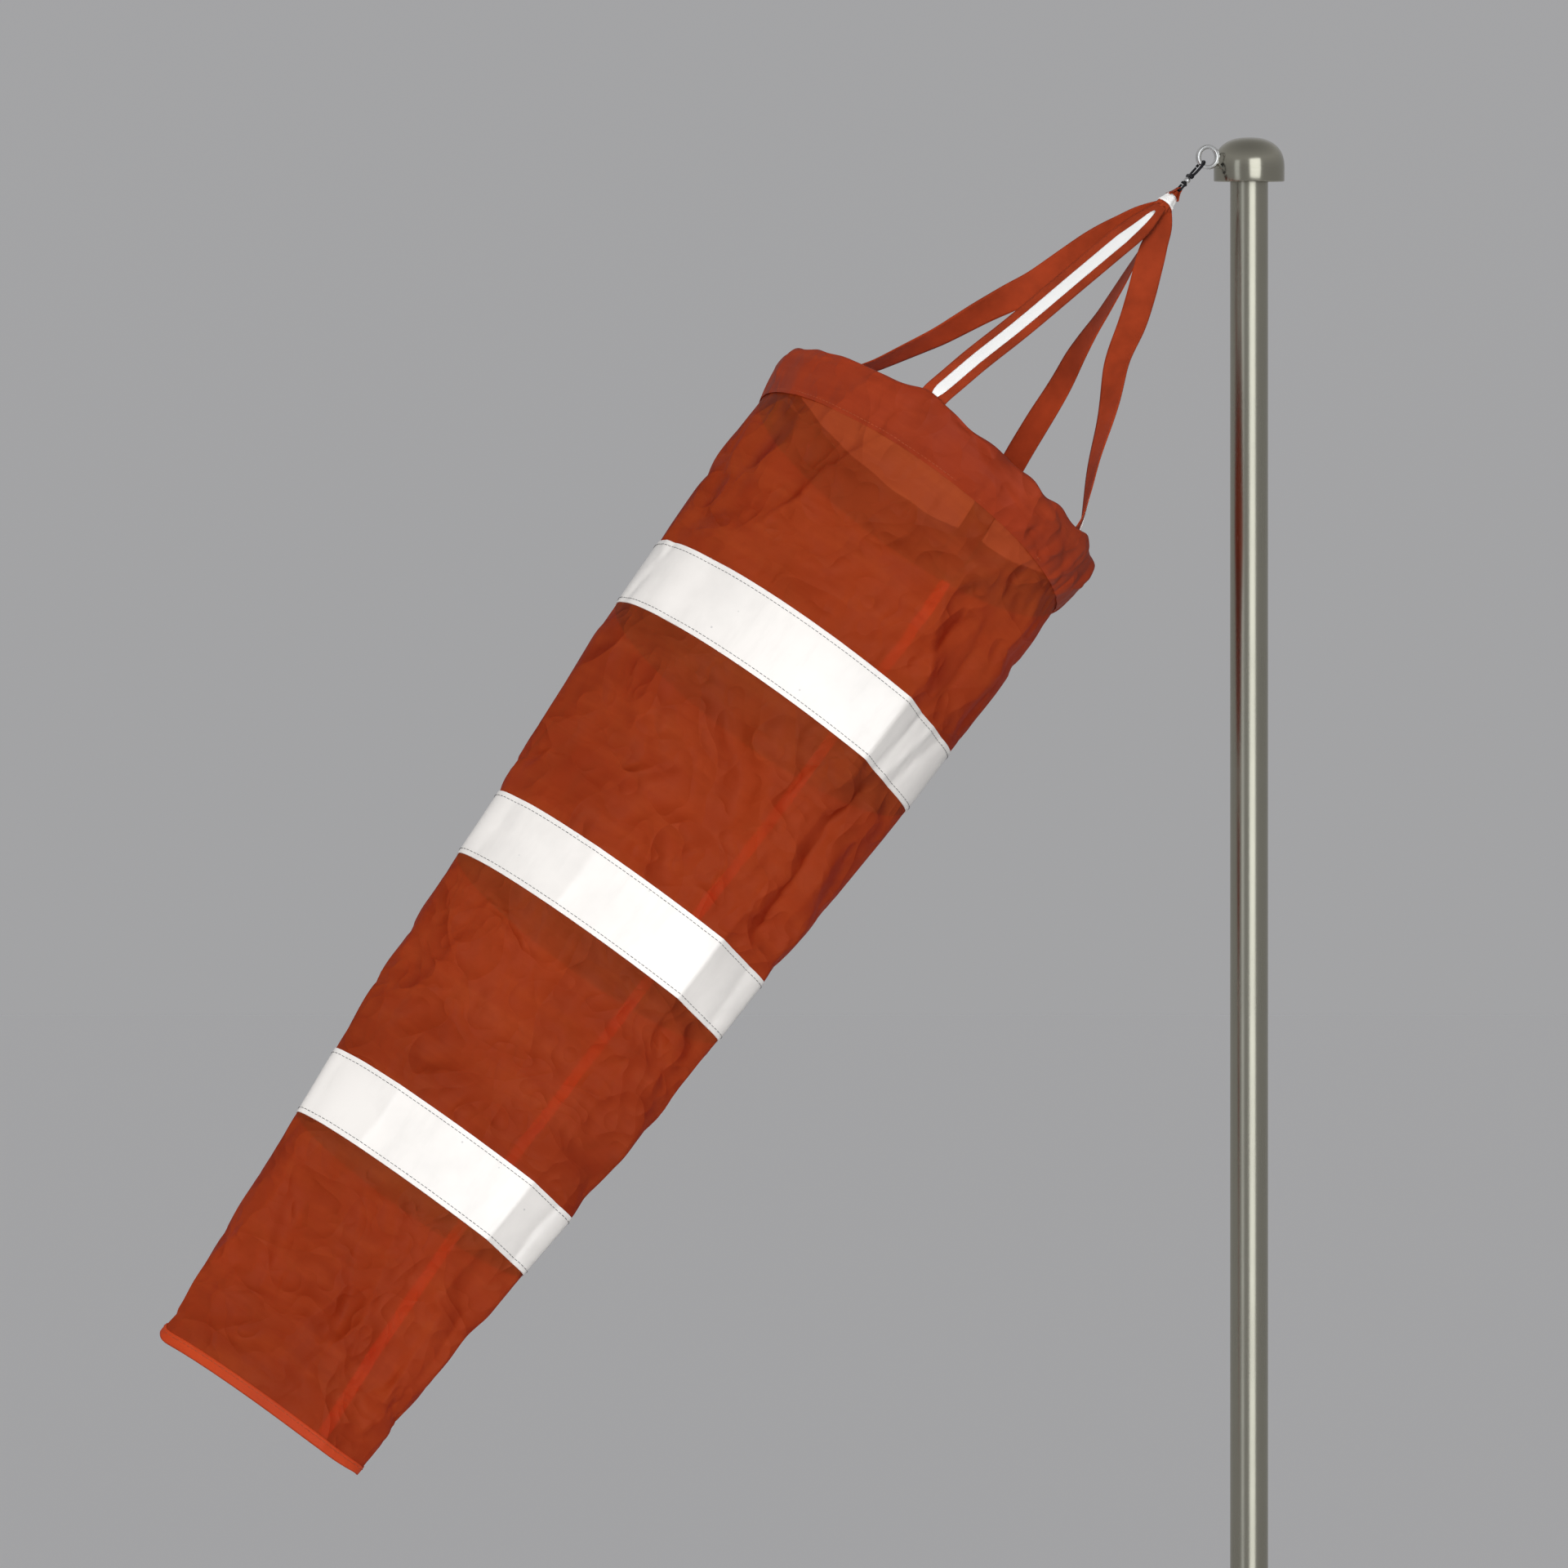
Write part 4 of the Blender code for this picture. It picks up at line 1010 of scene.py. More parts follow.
def fold(skin, route, height, width, sharpness=1.6, ends=18.0, rows=None, around=None):
    """Height of a fold along a route of (distance in mm, angle in degrees); positive stands out.

    The height, the width and the length of the ends' taper are in mm.
    Rows and around are the places to find it at: distances down the sock and lengths round it.
    """
    rows = skin.rows if rows is None else rows
    around = skin.around if around is None else around
    points = [np.array((s * MM, skin.length_at(max(s, 0) * MM, turn))) for s, turn in route]
    nearest = np.full(rows.shape, 1e9)
    place = np.zeros(rows.shape)
    before = 0.0
    for start, end in zip(points, points[1:]):
        along = end - start
        length = np.linalg.norm(along)
        u = ((rows - start[0]) * along[0] + (around - start[1]) * along[1]) / length**2
        u = np.clip(u, 0, 1)
        away = np.hypot(rows - start[0] - u * along[0], around - start[1] - u * along[1])
        closer = away < nearest
        nearest = np.where(closer, away, nearest)
        place = np.where(closer, before + u * length, place)
        before += length
    taper = np.clip(np.minimum(place, before - place) / (ends * MM), 0, 1)
    taper = taper * taper * (3 - 2 * taper)
    return height * MM * taper * np.exp(-((nearest / (width * MM)) ** sharpness))


# How much deeper than in their tables the folds are made, and how far any place can be moved
FOLD_DEPTH = 1.45
LOOSE_DEPTH = 1.05
FOLD_LIMIT = 6 * MM
# Folds seen on the cloth: route of (distance, angle), height, width, sharpness
FOLDS = (
    (((31, 103), (48, 112), (75, 118), (93, 120), (112, 125), (135, 129)), 3.2, 6, 1.1),
    (((33, 112), (60, 121), (90, 126), (130, 134)), -2.6, 11, 2),
    (((30, 127), (47, 126), (63, 124), (76, 127), (90, 131), (125, 141)), -3.0, 9, 1.3),
    (((32, 140), (60, 137), (95, 143)), 1.6, 8, 1.6),
    (((32, 150), (42, 146), (58, 144)), 1.9, 4, 1.2),
    (((38, 168), (66, 160), (100, 156)), 2.2, 7, 1.3),
    (((70, 172), (110, 160), (145, 152)), -2.2, 8, 1.5),
    (((40, 42), (70, 41), (105, 38), (150, 36)), -2.2, 7, 1.3),
    (((36, 50), (60, 54), (90, 64), (108, 60), (150, 47)), 3.0, 6, 1.1),
    (((64, 60), (94, 51), (118, 54), (150, 60)), -2.6, 6, 1.3),
    (((44, 66), (81, 70), (106, 66), (140, 72)), 1.6, 8, 1.6),
    (((50, 88), (90, 92), (140, 96)), -1.6, 13, 2),
    (((40, 20), (80, 24), (150, 22)), 2.0, 8, 1.4),
    (((60, 8), (100, 12), (150, 8)), -2.4, 8, 1.4),
    (((207, 102), (228, 102), (261, 82), (310, 70), (345, 66)), -2.6, 9, 1.5),
    (((212, 88), (236, 84), (258, 72), (300, 60)), 2.4, 8, 1.4),
    (((206, 57), (232, 64), (262, 67)), -2.6, 4, 1.1),
    (((207, 50), (240, 57), (275, 58), (330, 62)), 2.6, 6, 1.1),
    (((207, 38), (250, 43), (300, 39), (350, 34)), -3.0, 7, 1.2),
    (((210, 28), (260, 30), (320, 24)), 2.4, 8, 1.4),
    (((212, 150), (253, 140), (296, 138), (335, 146)), -2.0, 12, 1.7),
    (((262, 122), (290, 112), (308, 122)), -1.9, 8, 1.4),
    (((240, 128), (275, 118), (300, 104)), 1.7, 12, 1.8),
    (((350, 96), (335, 86), (318, 79), (300, 72)), -2.4, 6, 1.3),
    (((215, 172), (270, 164), (330, 170)), 2.0, 9, 1.5),
    (((420, 138), (425, 126), (432, 112), (444, 104)), -2.2, 5, 1.3),
    (((428, 128), (440, 116), (452, 108)), 1.9, 5, 1.3),
    (((462, 104), (458, 82), (455, 62), (452, 45), (456, 30)), 2.2, 5, 1.2),
    (((408, 52), (430, 45), (446, 28), (458, 12)), -3.0, 7, 1.2),
    (((407, 40), (435, 34), (470, 26)), 2.4, 6, 1.3),
    (((407, 160), (450, 152), (520, 158)), -2.0, 10, 1.6),
    (((470, 60), (510, 58), (550, 55)), 1.8, 8, 1.5),
    (((612, 112), (656, 100), (690, 86), (730, 78)), -2.6, 8, 1.4),
    (((612, 96), (650, 84), (704, 74), (760, 70)), 2.2, 8, 1.4),
    (((640, 128), (701, 124), (745, 122)), -2.0, 9, 1.6),
    (((650, 64), (668, 46), (707, 42), (750, 36)), 2.8, 5, 1.1),
    (((640, 30), (690, 24), (750, 28)), -2.6, 7, 1.3),
    (((612, 150), (660, 146), (720, 152)), 1.8, 10, 1.6),
    (((700, 98), (740, 94), (776, 96)), 1.6, 9, 1.7),
)
# Creases across the stiff tape: route, height, width, sharpness
TAPE_CREASES = (
    (((152, 40), (180, 42), (208, 44)), -1.5, 3.5, 1.1),
    (((152, 30), (180, 34), (208, 38)), 1.5, 3.0, 1.1),
    (((153, 20), (182, 27), (207, 30)), -1.2, 4.0, 1.3),
    (((152, 158), (176, 161), (206, 168)), -1.6, 4.0, 1.1),
    (((152, 164), (172, 160), (182, 166)), 1.4, 3.0, 1.1),
    (((152, 134), (180, 133), (206, 137)), -2.0, 12, 1.8),
    (((352, 108), (380, 108), (407, 109)), 0.9, 5, 1.1),
    (((352, 152), (380, 153), (407, 156)), -1.5, 8, 1.5),
    (((352, 26), (380, 24), (407, 22)), -1.2, 6, 1.3),
    (((557, 26), (585, 28), (612, 25)), -1.3, 5, 1.2),
    (((557, 120), (585, 119), (612, 121)), 0.8, 5, 1.2),
    (((557, 156), (585, 158), (612, 156)), -1.2, 8, 1.5),
)


def band_share(distances, margin):
    """1 on the stitched bands and 0 a margin away from them."""
    share = np.zeros_like(distances)
    for start in BANDS:
        away = np.maximum(start - distances, distances - start - BAND_WIDTH)
        share = np.maximum(share, np.clip(1 - away / margin, 0, 1))
    return share


def loose_folds(skin):
    """Folds all round the sock, from a seeded draw: long soft ones, and short ones at the straps' feet."""
    draw = random.Random(20)
    heights = np.zeros(skin.rows.shape)
    for low, high in ((36, 150), (210, 350), (410, 555), (615, 780)):
        for _ in range(26):
            # The flatter side has its own folds above, so most of these go round the rest of the wall.
            turn = draw.uniform(170, 395)
            start = draw.uniform(low - 15, high - 40)
            length = draw.uniform(45, 125)
            lean = draw.uniform(-16, 16)
            end = min(start + length, high + 10)
            route = ((start, turn), (start + length / 2, turn + lean), (end, turn + lean * 1.2))
            size = draw.choice((-1, 1)) * draw.uniform(1.0, 2.6)
            heights += fold(skin, route, size, draw.uniform(5, 12), draw.uniform(1.1, 1.9), 22)
    for foot in STRAP_ANGLES:
        for _ in range(7):
            turn = foot + draw.uniform(-16, 16)
            spread = draw.uniform(-26, 26)
            route = ((34, turn), (70, turn + spread * 0.5), (draw.uniform(95, 140), turn + spread))
            size = draw.choice((-1, 1)) * draw.uniform(0.8, 1.7)
            if 60 < foot < 150:
                size *= 0.45
            heights += fold(skin, route, size, draw.uniform(4, 8), 1.2, 24)
    return heights


def puckers(skin):
    """Small gathers where the cloth is sewn: under the sleeve, beside the bands and above the hem."""
    draw = random.Random(5)
    waves = [(draw.uniform(60, 150), draw.uniform(0, math.tau), draw.uniform(0.4, 1)) for _ in range(7)]
    ripple = sum(size * np.sin(skin.around * count * math.tau / 1.3 + at) for count, at, size in waves)
    slow = 0.5 + 0.5 * np.sin(skin.around * 21 + 1.7) * np.sin(skin.around * 9 + skin.rows * 6)
    lines = [(SLEEVE_END, 30 * MM, 0.34), (SOCK_LENGTH - SEAM_WIDTH, 14 * MM, 0.12)]
    for start in BANDS:
        lines += [(start, 16 * MM, 0.16), (start + BAND_WIDTH, 16 * MM, 0.16)]
    heights = np.zeros(skin.rows.shape)
    for place, reach, size in lines:
        away = np.abs(skin.rows - place)
        fade = np.exp(-((away / reach) ** 1.4))
        heights += size * MM * ripple * slow * fade * np.clip(away / (3 * MM), 0.25, 1)
    return heights


def shape_skin(skin):
    free = 1 - band_share(skin.rows, 9 * MM)
    soft = free * free * (3 - 2 * free)
    heights = np.zeros(skin.rows.shape)
    for route, height, width, sharpness in FOLDS:
        heights += fold(skin, route, height * FOLD_DEPTH, width, sharpness)
    heights += loose_folds(skin) * LOOSE_DEPTH
    heights *= np.clip((skin.rows - 20 * MM) / (16 * MM), 0, 1) * (0.10 + 0.90 * soft)
    for route, height, width, sharpness in TAPE_CREASES:
        heights += fold(skin, route, height, width, sharpness, 4)
    heights += puckers(skin) * (0.2 + 0.8 * soft)
    skin.push(FOLD_LIMIT * np.tanh(heights / FOLD_LIMIT))


# The skins' gap between rows and number of columns: the coarse one is settled and the fine one shows
COARSE = (5.2 * MM, 176)
FINE = (2.6 * MM, 352)
SETTLE_FRAMES = 14
SETTLE_MOST = 7 * MM
HELD_BESIDE_BANDS = 12 * MM
HELD_AT_ENDS = 14 * MM
CLOTH_SETTINGS = {
    "quality": 5,
    "mass": 0.05,
    "air_damping": 4,
    "tension_stiffness": 30,
    "compression_stiffness": 30,
    "shear_stiffness": 12,
    "bending_stiffness": 2.0,
    "vertex_group_mass": "held",
    "pin_stiffness": 1.0,
    "shrink_min": -0.004,
    "shrink_max": -0.004,
    "use_pressure": True,
    "uniform_pressure_force": 0.25,
}


def settle(skin):
    """Lets the cloth go a little slack between the hoop, the bands and the hem, by simulation."""
    mesh = grid_mesh("settling", skin.points, around=True)
    cloth = placed("settling", mesh)
    held = band_share(skin.rows, HELD_BESIDE_BANDS)
    for past_end in (skin.rows - SLEEVE_END, SOCK_LENGTH - SEAM_WIDTH - skin.rows):
        held = np.maximum(held, np.clip(1 - past_end / HELD_AT_ENDS, 0, 1))
    group = cloth.vertex_groups.new(name="held")
    for index, weight in enumerate(held.ravel()):
        if weight > 0:
            group.add([index], float(weight), "REPLACE")
    step = cloth.modifiers.new("cloth", "CLOTH")
    for name, value in CLOTH_SETTINGS.items():
        setattr(step.settings, name, value)
    step.settings.effector_weights.gravity = 0.15
    step.collision_settings.use_collision = False
    step.collision_settings.use_self_collision = False
    step.point_cache.frame_start = 1
    step.point_cache.frame_end = SETTLE_FRAMES
    scene = bpy.context.scene
    for now in range(1, SETTLE_FRAMES + 1):
        scene.frame_set(now)
    made = cloth.evaluated_get(bpy.context.evaluated_depsgraph_get())
    flat = np.zeros(len(mesh.vertices) * 3, np.float32)
    made.data.vertices.foreach_get("co", flat)
    scene.frame_set(1)
    bpy.data.objects.remove(cloth)
    moved = flat.reshape(skin.points.shape).astype(float) - skin.points
    far = np.linalg.norm(moved, axis=-1, keepdims=True)
    shortened = np.where(far > SETTLE_MOST, SETTLE_MOST / np.maximum(far, 1e-9), 1)
    moved *= shortened * (1 - held[..., None] * 0.999)
    skin.points = skin.points + moved
    skin.refresh()


def refined(skin, fine):
    """Carries a coarse skin's moves from its own rest shape over to a finer skin."""
    rest = Skin(SOCK_LENGTH / (len(skin.distances) - 1), skin.columns)
    moved = skin.points - rest.points
    share = fine.columns / skin.columns
    rows = np.clip(fine.rows / SOCK_LENGTH * (len(skin.distances) - 1), 0, len(skin.distances) - 1.0001)
    columns = np.repeat(np.arange(fine.columns)[None] / share, len(fine.distances), 0)
    i, j = rows.astype(int), np.floor(columns).astype(int)
    a, b = rows - i, columns - j

    def cubic(t):
        return [-0.5 * t + t**2 - 0.5 * t**3, 1 - 2.5 * t**2 + 1.5 * t**3,
                0.5 * t + 2 * t**2 - 1.5 * t**3, -0.5 * t**2 + 0.5 * t**3]

    total = np.zeros(fine.points.shape)
    last = len(skin.distances) - 1
    for di, wi in enumerate(cubic(a)):
        for dj, wj in enumerate(cubic(b)):
            picked = moved[np.clip(i + di - 1, 0, last), (j + dj - 1) % skin.columns]
            total += picked * (wi * wj)[..., None]
    fine.points = fine.points + total
    fine.refresh()
    return fine


def make_skin():
    skin = Skin(*COARSE)
    shape_skin(skin)
    settle(skin)
    return refined(skin, Skin(*FINE))


SKIN = make_skin()


# ---------------------------------------------------------------- cloth pieces on the skin

COLUMNS = SKIN.columns


def uv_of(points, around):
    """Lengths along the threads, in metres, as UV."""
    if around:
        points = np.concatenate([points, points[:, :1]], 1)
    side = np.linalg.norm(np.diff(points, axis=1), axis=-1).mean(0)
    down = np.linalg.norm(np.diff(points, axis=0), axis=-1).mean(1)
    u = np.concatenate(([0], np.cumsum(side)))
    v = np.concatenate(([0], np.cumsum(down), [down.sum()]))
    return np.stack(np.broadcast_arrays(u[None, :], v[:, None]), -1)


def sheet_mesh(name, points, around=False):
    return grid_mesh(name, points, around, uv_of(points, around))


def laid_on(name, distances, prouds):
    """A strip round the skin: each row is at a distance down the sock and stands proud by its own amount."""
    return sheet_mesh(name, SKIN.at(distances[:, None], np.arange(COLUMNS)[None, :], prouds[:, None]), True)


def round_at(distance):
    """The cloth's length round the sock at a distance down it."""
    return float(np.interp(distance, SKIN.distances, SKIN.lengths))


# The cloth begins inside the sleeve, below the hoop.
CLOTH_START = 9.5 * MM


def make_sock_cloth():
    mesh = sheet_mesh("sock", SKIN.points[SKIN.distances >= CLOTH_START], True)
    sock = finish_piece("sock_cloth", mesh, CLOTH, None, "orange_nylon", ["sock_front", "sock_rear"])
    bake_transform(sock)


STITCH_PITCH = 3.0 * MM
# Along a stitch: share of the pitch, height over the cloth and half thickness in mm
STITCH = ((0.10, -0.15, 0.10), (0.18, 0.16, 0.20), (0.5, 0.24, 0.22), (0.82, 0.16, 0.20), (0.90, -0.15, 0.10))


def stitch_line(name, distance, proud, material, body):
    """A row of sewn stitches round the sock: short threads that dive into the cloth at both ends."""
    count = int(round_at(distance) / STITCH_PITCH)
    sides = 6
    shares, lifts, thick = np.array(STITCH).T
    columns = (np.arange(count)[:, None] + shares[None, :]) * (COLUMNS / count)
    heights = proud + lifts[None, :] * MM
    middle = SKIN.at(distance, columns, heights)
    above = SKIN.at(distance, columns, heights + 1 * MM) - middle
    above /= np.linalg.norm(above, axis=-1, keepdims=True)
    ahead = np.gradient(middle, axis=1)
    ahead /= np.linalg.norm(ahead, axis=-1, keepdims=True)
    side = np.cross(ahead, above)
    turns = (np.arange(sides) * math.tau / sides)[None, None, :, None]
    out = above[:, :, None] * np.sin(turns) + side[:, :, None] * np.cos(turns)
    points = (middle[:, :, None] + (thick * MM)[None, :, None, None] * out).reshape(-1, 3)
    faces = []
    for k in range(count):
        base = k * len(shares) * sides
        last = base + (len(shares) - 1) * sides
        for ring in range(base, last, sides):
            for j in range(sides):
                a, b = ring + j, ring + (j + 1) % sides
                faces.append((a, b, b + sides, a + sides))
        faces.append(tuple(base + j for j in reversed(range(sides))))
        faces.append(tuple(last + j for j in range(sides)))
    mesh = bpy.data.meshes.new(name)
    mesh.from_pydata(points.tolist(), [], faces)
    finish_piece(name, mesh, material, body)


def make_bands():
    proud, sunk, inset = 0.75 * MM, 0.15 * MM, 3.5 * MM
    for number, (start, body) in enumerate(zip(BANDS, ("sock_mouth", "sock_tail", "sock_tail")), 1):
        end = start + BAND_WIDTH
        distances = np.concatenate(([start, start], np.linspace(start, end, 22)[1:-1], [end, end]))
        distances[1] += 0.5 * MM / 4
        distances[-2] -= 0.5 * MM / 4
        prouds = np.concatenate(([sunk], np.full(len(distances) - 2, proud), [sunk]))
        mesh = laid_on("band", distances, prouds)
        node = f"reflective_band_{number}"
        band = finish_piece(f"band_{number}", mesh, TAPE, body, "reflective_tape", [node], 60)
        for place, word in ((start + inset, "upper"), (end - inset, "lower")):
            stitch_line(f"band_{number}_{word}_stitches", place, proud, GREY_THREAD, body)


def make_hem():
    """The cloth turned over the tail's edge, from the outside to the inside."""
    start = SOCK_LENGTH - SEAM_WIDTH
    outer = np.linspace(start, SOCK_LENGTH, 7)
    distances = np.concatenate(([start], outer, [SOCK_LENGTH] * 3, outer[::-1]))
    prouds = np.array([0.1] + [0.7] * len(outer) + [0.35, -0.1, -0.6] + [-0.7] * len(outer)) * MM
    mesh = laid_on("hem", distances, prouds)
    hem = finish_piece("hem", mesh, HEM, "sock_tail", "orange_nylon", ["tail_hem"])
    stitch_line("hem_stitches", start + 2.2 * MM, 0.7 * MM, ORANGE_THREAD, "sock_tail")


# The skin's row that the sleeve's places round the hoop are taken from, and the distance below the
# mouth where its turn over the hoop begins
SLEEVE_ROW = 4
SLEEVE_TURN = 14 * MM
# The sleeve's rows outside the sock, over the hoop and inside the sock
ROWS_OUTSIDE, ROWS_OVER, ROWS_INSIDE = 12, 22, 8
# Folds of the sleeve: route of (distance, angle), height, width, sharpness
SLEEVE_FOLDS = (
    (((-6, 96), (4, 89), (11, 78), (20, 61), (31, 36)), -2.6, 3.2, 1.2),
    (((-4, 88), (6, 78), (14, 66), (24, 50)), 3.2, 6, 1.5),
    (((-6, 70), (6, 52), (18, 34)), 2.6, 7, 1.6),
    (((-2, 58), (8, 44), (20, 30), (30, 20)), -1.6, 3.5, 1.2),
    (((-4, 24), (5, 35), (10, 46)), -1.8, 3, 1.1),
    (((-5, 14), (6, 12), (22, 8)), 2.4, 6, 1.5),
    (((-4, 100), (8, 106), (24, 112)), -1.2, 4, 1.3),
    (((-5, 112), (6, 120), (22, 128)), 1.8, 6, 1.5),
    (((-4, 140), (8, 146), (26, 150)), -1.5, 5, 1.3),
    (((-5, 156), (8, 164), (26, 170)), 2.2, 7, 1.5),
)


def sleeve_swell(columns, angles):
    """How far the sleeve puffs out at each column: loose folds round the hoop, fullest on the pole's side."""
    draw = random.Random(11)
    turns = columns / COLUMNS * math.tau
    waves = [(draw.randint(7, 31), draw.uniform(0, math.tau), draw.uniform(0.1, 0.34)) for _ in range(9)]
    ripple = sum(size * np.sin(turns * count + phase) for count, phase, size in waves)
    full = np.exp(-(((angles - 28) / 46) ** 2)) + 0.35 * np.exp(-(((angles - 165) / 25) ** 2))
    return ripple * (0.35 + 0.65 * np.clip(full, 0, 1)) * MM, full * MM


def near_straps(angles, wide):
    """1 at each strap's foot, falling off over an angle on both sides."""
    return sum(np.exp(-((((angles - foot + 180) % 360 - 180) / wide) ** 2)) for foot in STRAP_ANGLES)


def make_sleeve():
    """The doubled cloth that folds over the hoop, sewn to the sock along its lower edge."""
    columns = np.arange(COLUMNS)
    angles = np.degrees(SKIN.angles[SLEEVE_ROW])
    ripple, full = sleeve_swell(columns, angles)
    pulled, slack = near_straps(angles, 6.5), near_straps(angles, 17)
    tall = SLEEVE_END - SLEEVE_TURN
    rows, prouds = [], []
    for distance in np.linspace(SLEEVE_END, SLEEVE_TURN, ROWS_OUTSIDE):
        share = (SLEEVE_END - distance) / tall
        swell = math.sin(math.pi * min(share * 0.75, 1))
        rows.append(np.full(COLUMNS, distance))
        prouds.append((0.9 + 2.0 * share**0.8) * MM + (ripple * 0.9 + full * 2.6) * swell)
    for k in range(1, ROWS_OVER):
        angle = math.pi * k / ROWS_OVER
        reach = 12.5 * MM + (4.0 * pulled - 1.5 * (1 - np.clip(slack, 0, 1))) * MM
        rows.append(HOOP_AT + 6 * MM - reach * math.sin(angle) - 1.6 * math.sin(angle) * ripple)
        prouds.append(3.2 * MM * math.cos(angle) + (ripple * 0.7 + full * 2.0) * max(math.cos(angle), 0))
    for distance in np.linspace(SLEEVE_TURN, SLEEVE_END, ROWS_INSIDE):
        inward = -3.0 * MM + 2.0 * MM * (distance - SLEEVE_TURN) / tall
        rows.append(np.full(COLUMNS, distance))
        prouds.append(np.full(COLUMNS, inward) + ripple * 0.2)
    rows, prouds = np.array(rows), np.array(prouds)
    # The folds are in the rows outside the hoop, and fade in and out at that part's ends.
    outer = ROWS_OUTSIDE + ROWS_OVER // 2
    fade = np.concatenate([np.linspace(0.15, 1, 4), np.ones(outer - 9), np.linspace(1, 0, 5)])
    around = np.repeat(SKIN.around[SLEEVE_ROW][None], len(rows), 0)
    for route, height, width, sharpness in SLEEVE_FOLDS:
        raised = fold(SKIN, route, height, width, sharpness, 6, rows, around)
        prouds[:outer] += raised[:outer] * fade[:, None]
    # No fold presses the cloth into the hoop's wire.
    beside = np.abs(rows[:outer] - HOOP_AT)
    prouds[:outer] = np.maximum(prouds[:outer], np.sqrt(np.maximum(HOOP_CLEAR**2 - beside**2, 0)))
    inside = np.maximum(rows, 0)
    points = SKIN.at(inside, columns[None, :], prouds) + np.array(SOCK_UP) * (inside - rows)[..., None]
    mesh = sheet_mesh("sleeve", points, True)
    sleeve = finish_piece("sleeve", mesh, DOUBLE, "sock_mouth", "orange_nylon", ["mouth_sleeve"])
    stitch_line("sleeve_stitches", SLEEVE_END - 2.5 * MM, 1.1 * MM, ORANGE_THREAD, "sock_mouth")


def make_seam():
    """The felled seam down the far side, on the inside, where the near side's cloth shows it through."""
    distances = np.arange(SLEEVE_END, SOCK_LENGTH - 2 * MM, 4 * MM)
    offsets = np.array((-4.0, -3.7, -2, 0, 2, 3.7, 4.0)) * MM
    depths = np.array((-0.15, -0.6, -0.7, -0.7, -0.7, -0.6, -0.15)) * MM
    whole = np.interp(distances, SKIN.distances, SKIN.lengths)
    # Near the tail the seam wanders towards the pole's side.
    aside = SEAM_WANDER * np.clip((distances - BANDS[2]) / (SOCK_LENGTH - BANDS[2]), 0, 1) ** 1.5
    columns = (offsets[None, :] + aside[:, None]) / whole[:, None] * COLUMNS
    mesh = sheet_mesh("seam", SKIN.at(distances[:, None], columns, depths[None, :]))
    seam = finish_piece("seam", mesh, SEAM_CLOTH, None, "orange_nylon", ["seam_front", "seam_rear"])
    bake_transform(seam)


# ---------------------------------------------------------------- bridle

BRIDLE_LENGTH = 280 * MM
STRAP_TOP = 45.5 * MM
GATHERED_WIDTH = 6 * MM
# Stations down a strap, and the one where its silver strip begins
STRAP_STEPS = 70
STRIP_FROM = 3
# For each strap, how far it is turned about its own length (share of the way down, degrees)
STRAP_TURNS = (
    ((0, 30), (0.2, 50), (0.36, 62), (0.47, 26), (0.65, 4), (0.8, -8), (1, -22)),
    ((0, 0), (1, 0)),
    ((0, 80), (0.2, 52), (0.35, 42), (0.48, 20), (0.65, 6), (1, 3)),
    ((0, -118), (0.2, -116), (0.38, -99), (0.48, -77), (0.66, -51), (0.8, -36), (0.89, -27), (1, -12)),
)
# For each strap, how its line bows (share of the way down, millimetres across the sock and down)
STRAP_BOWS = (
    ((0, 0, 0), (0.2, 0, 4.5), (0.36, 0, 12), (0.5, 0, 12.5), (0.62, 0, 14.5), (0.8, 0, 13), (1, 0, 3)),
    ((0, 0, 0), (0.12, 0.8, -0.5), (0.4, -0.3, 0.4), (0.7, 0.3, 0), (1, 0, 0)),
    ((0, 0, 0), (0.33, 0.8, 0.8), (0.47, -1.2, 0), (0.7, 0.4, 0.5), (1, 0, 0)),
    ((0, 0, 0), (0.2, -2.2, 0), (0.3, -3.2, 0), (0.39, -3.0, 0), (0.5, -4.8, 0), (0.66, -3.6, 0),
     (0.8, -2.4, 0), (1, 0, 0)),
)


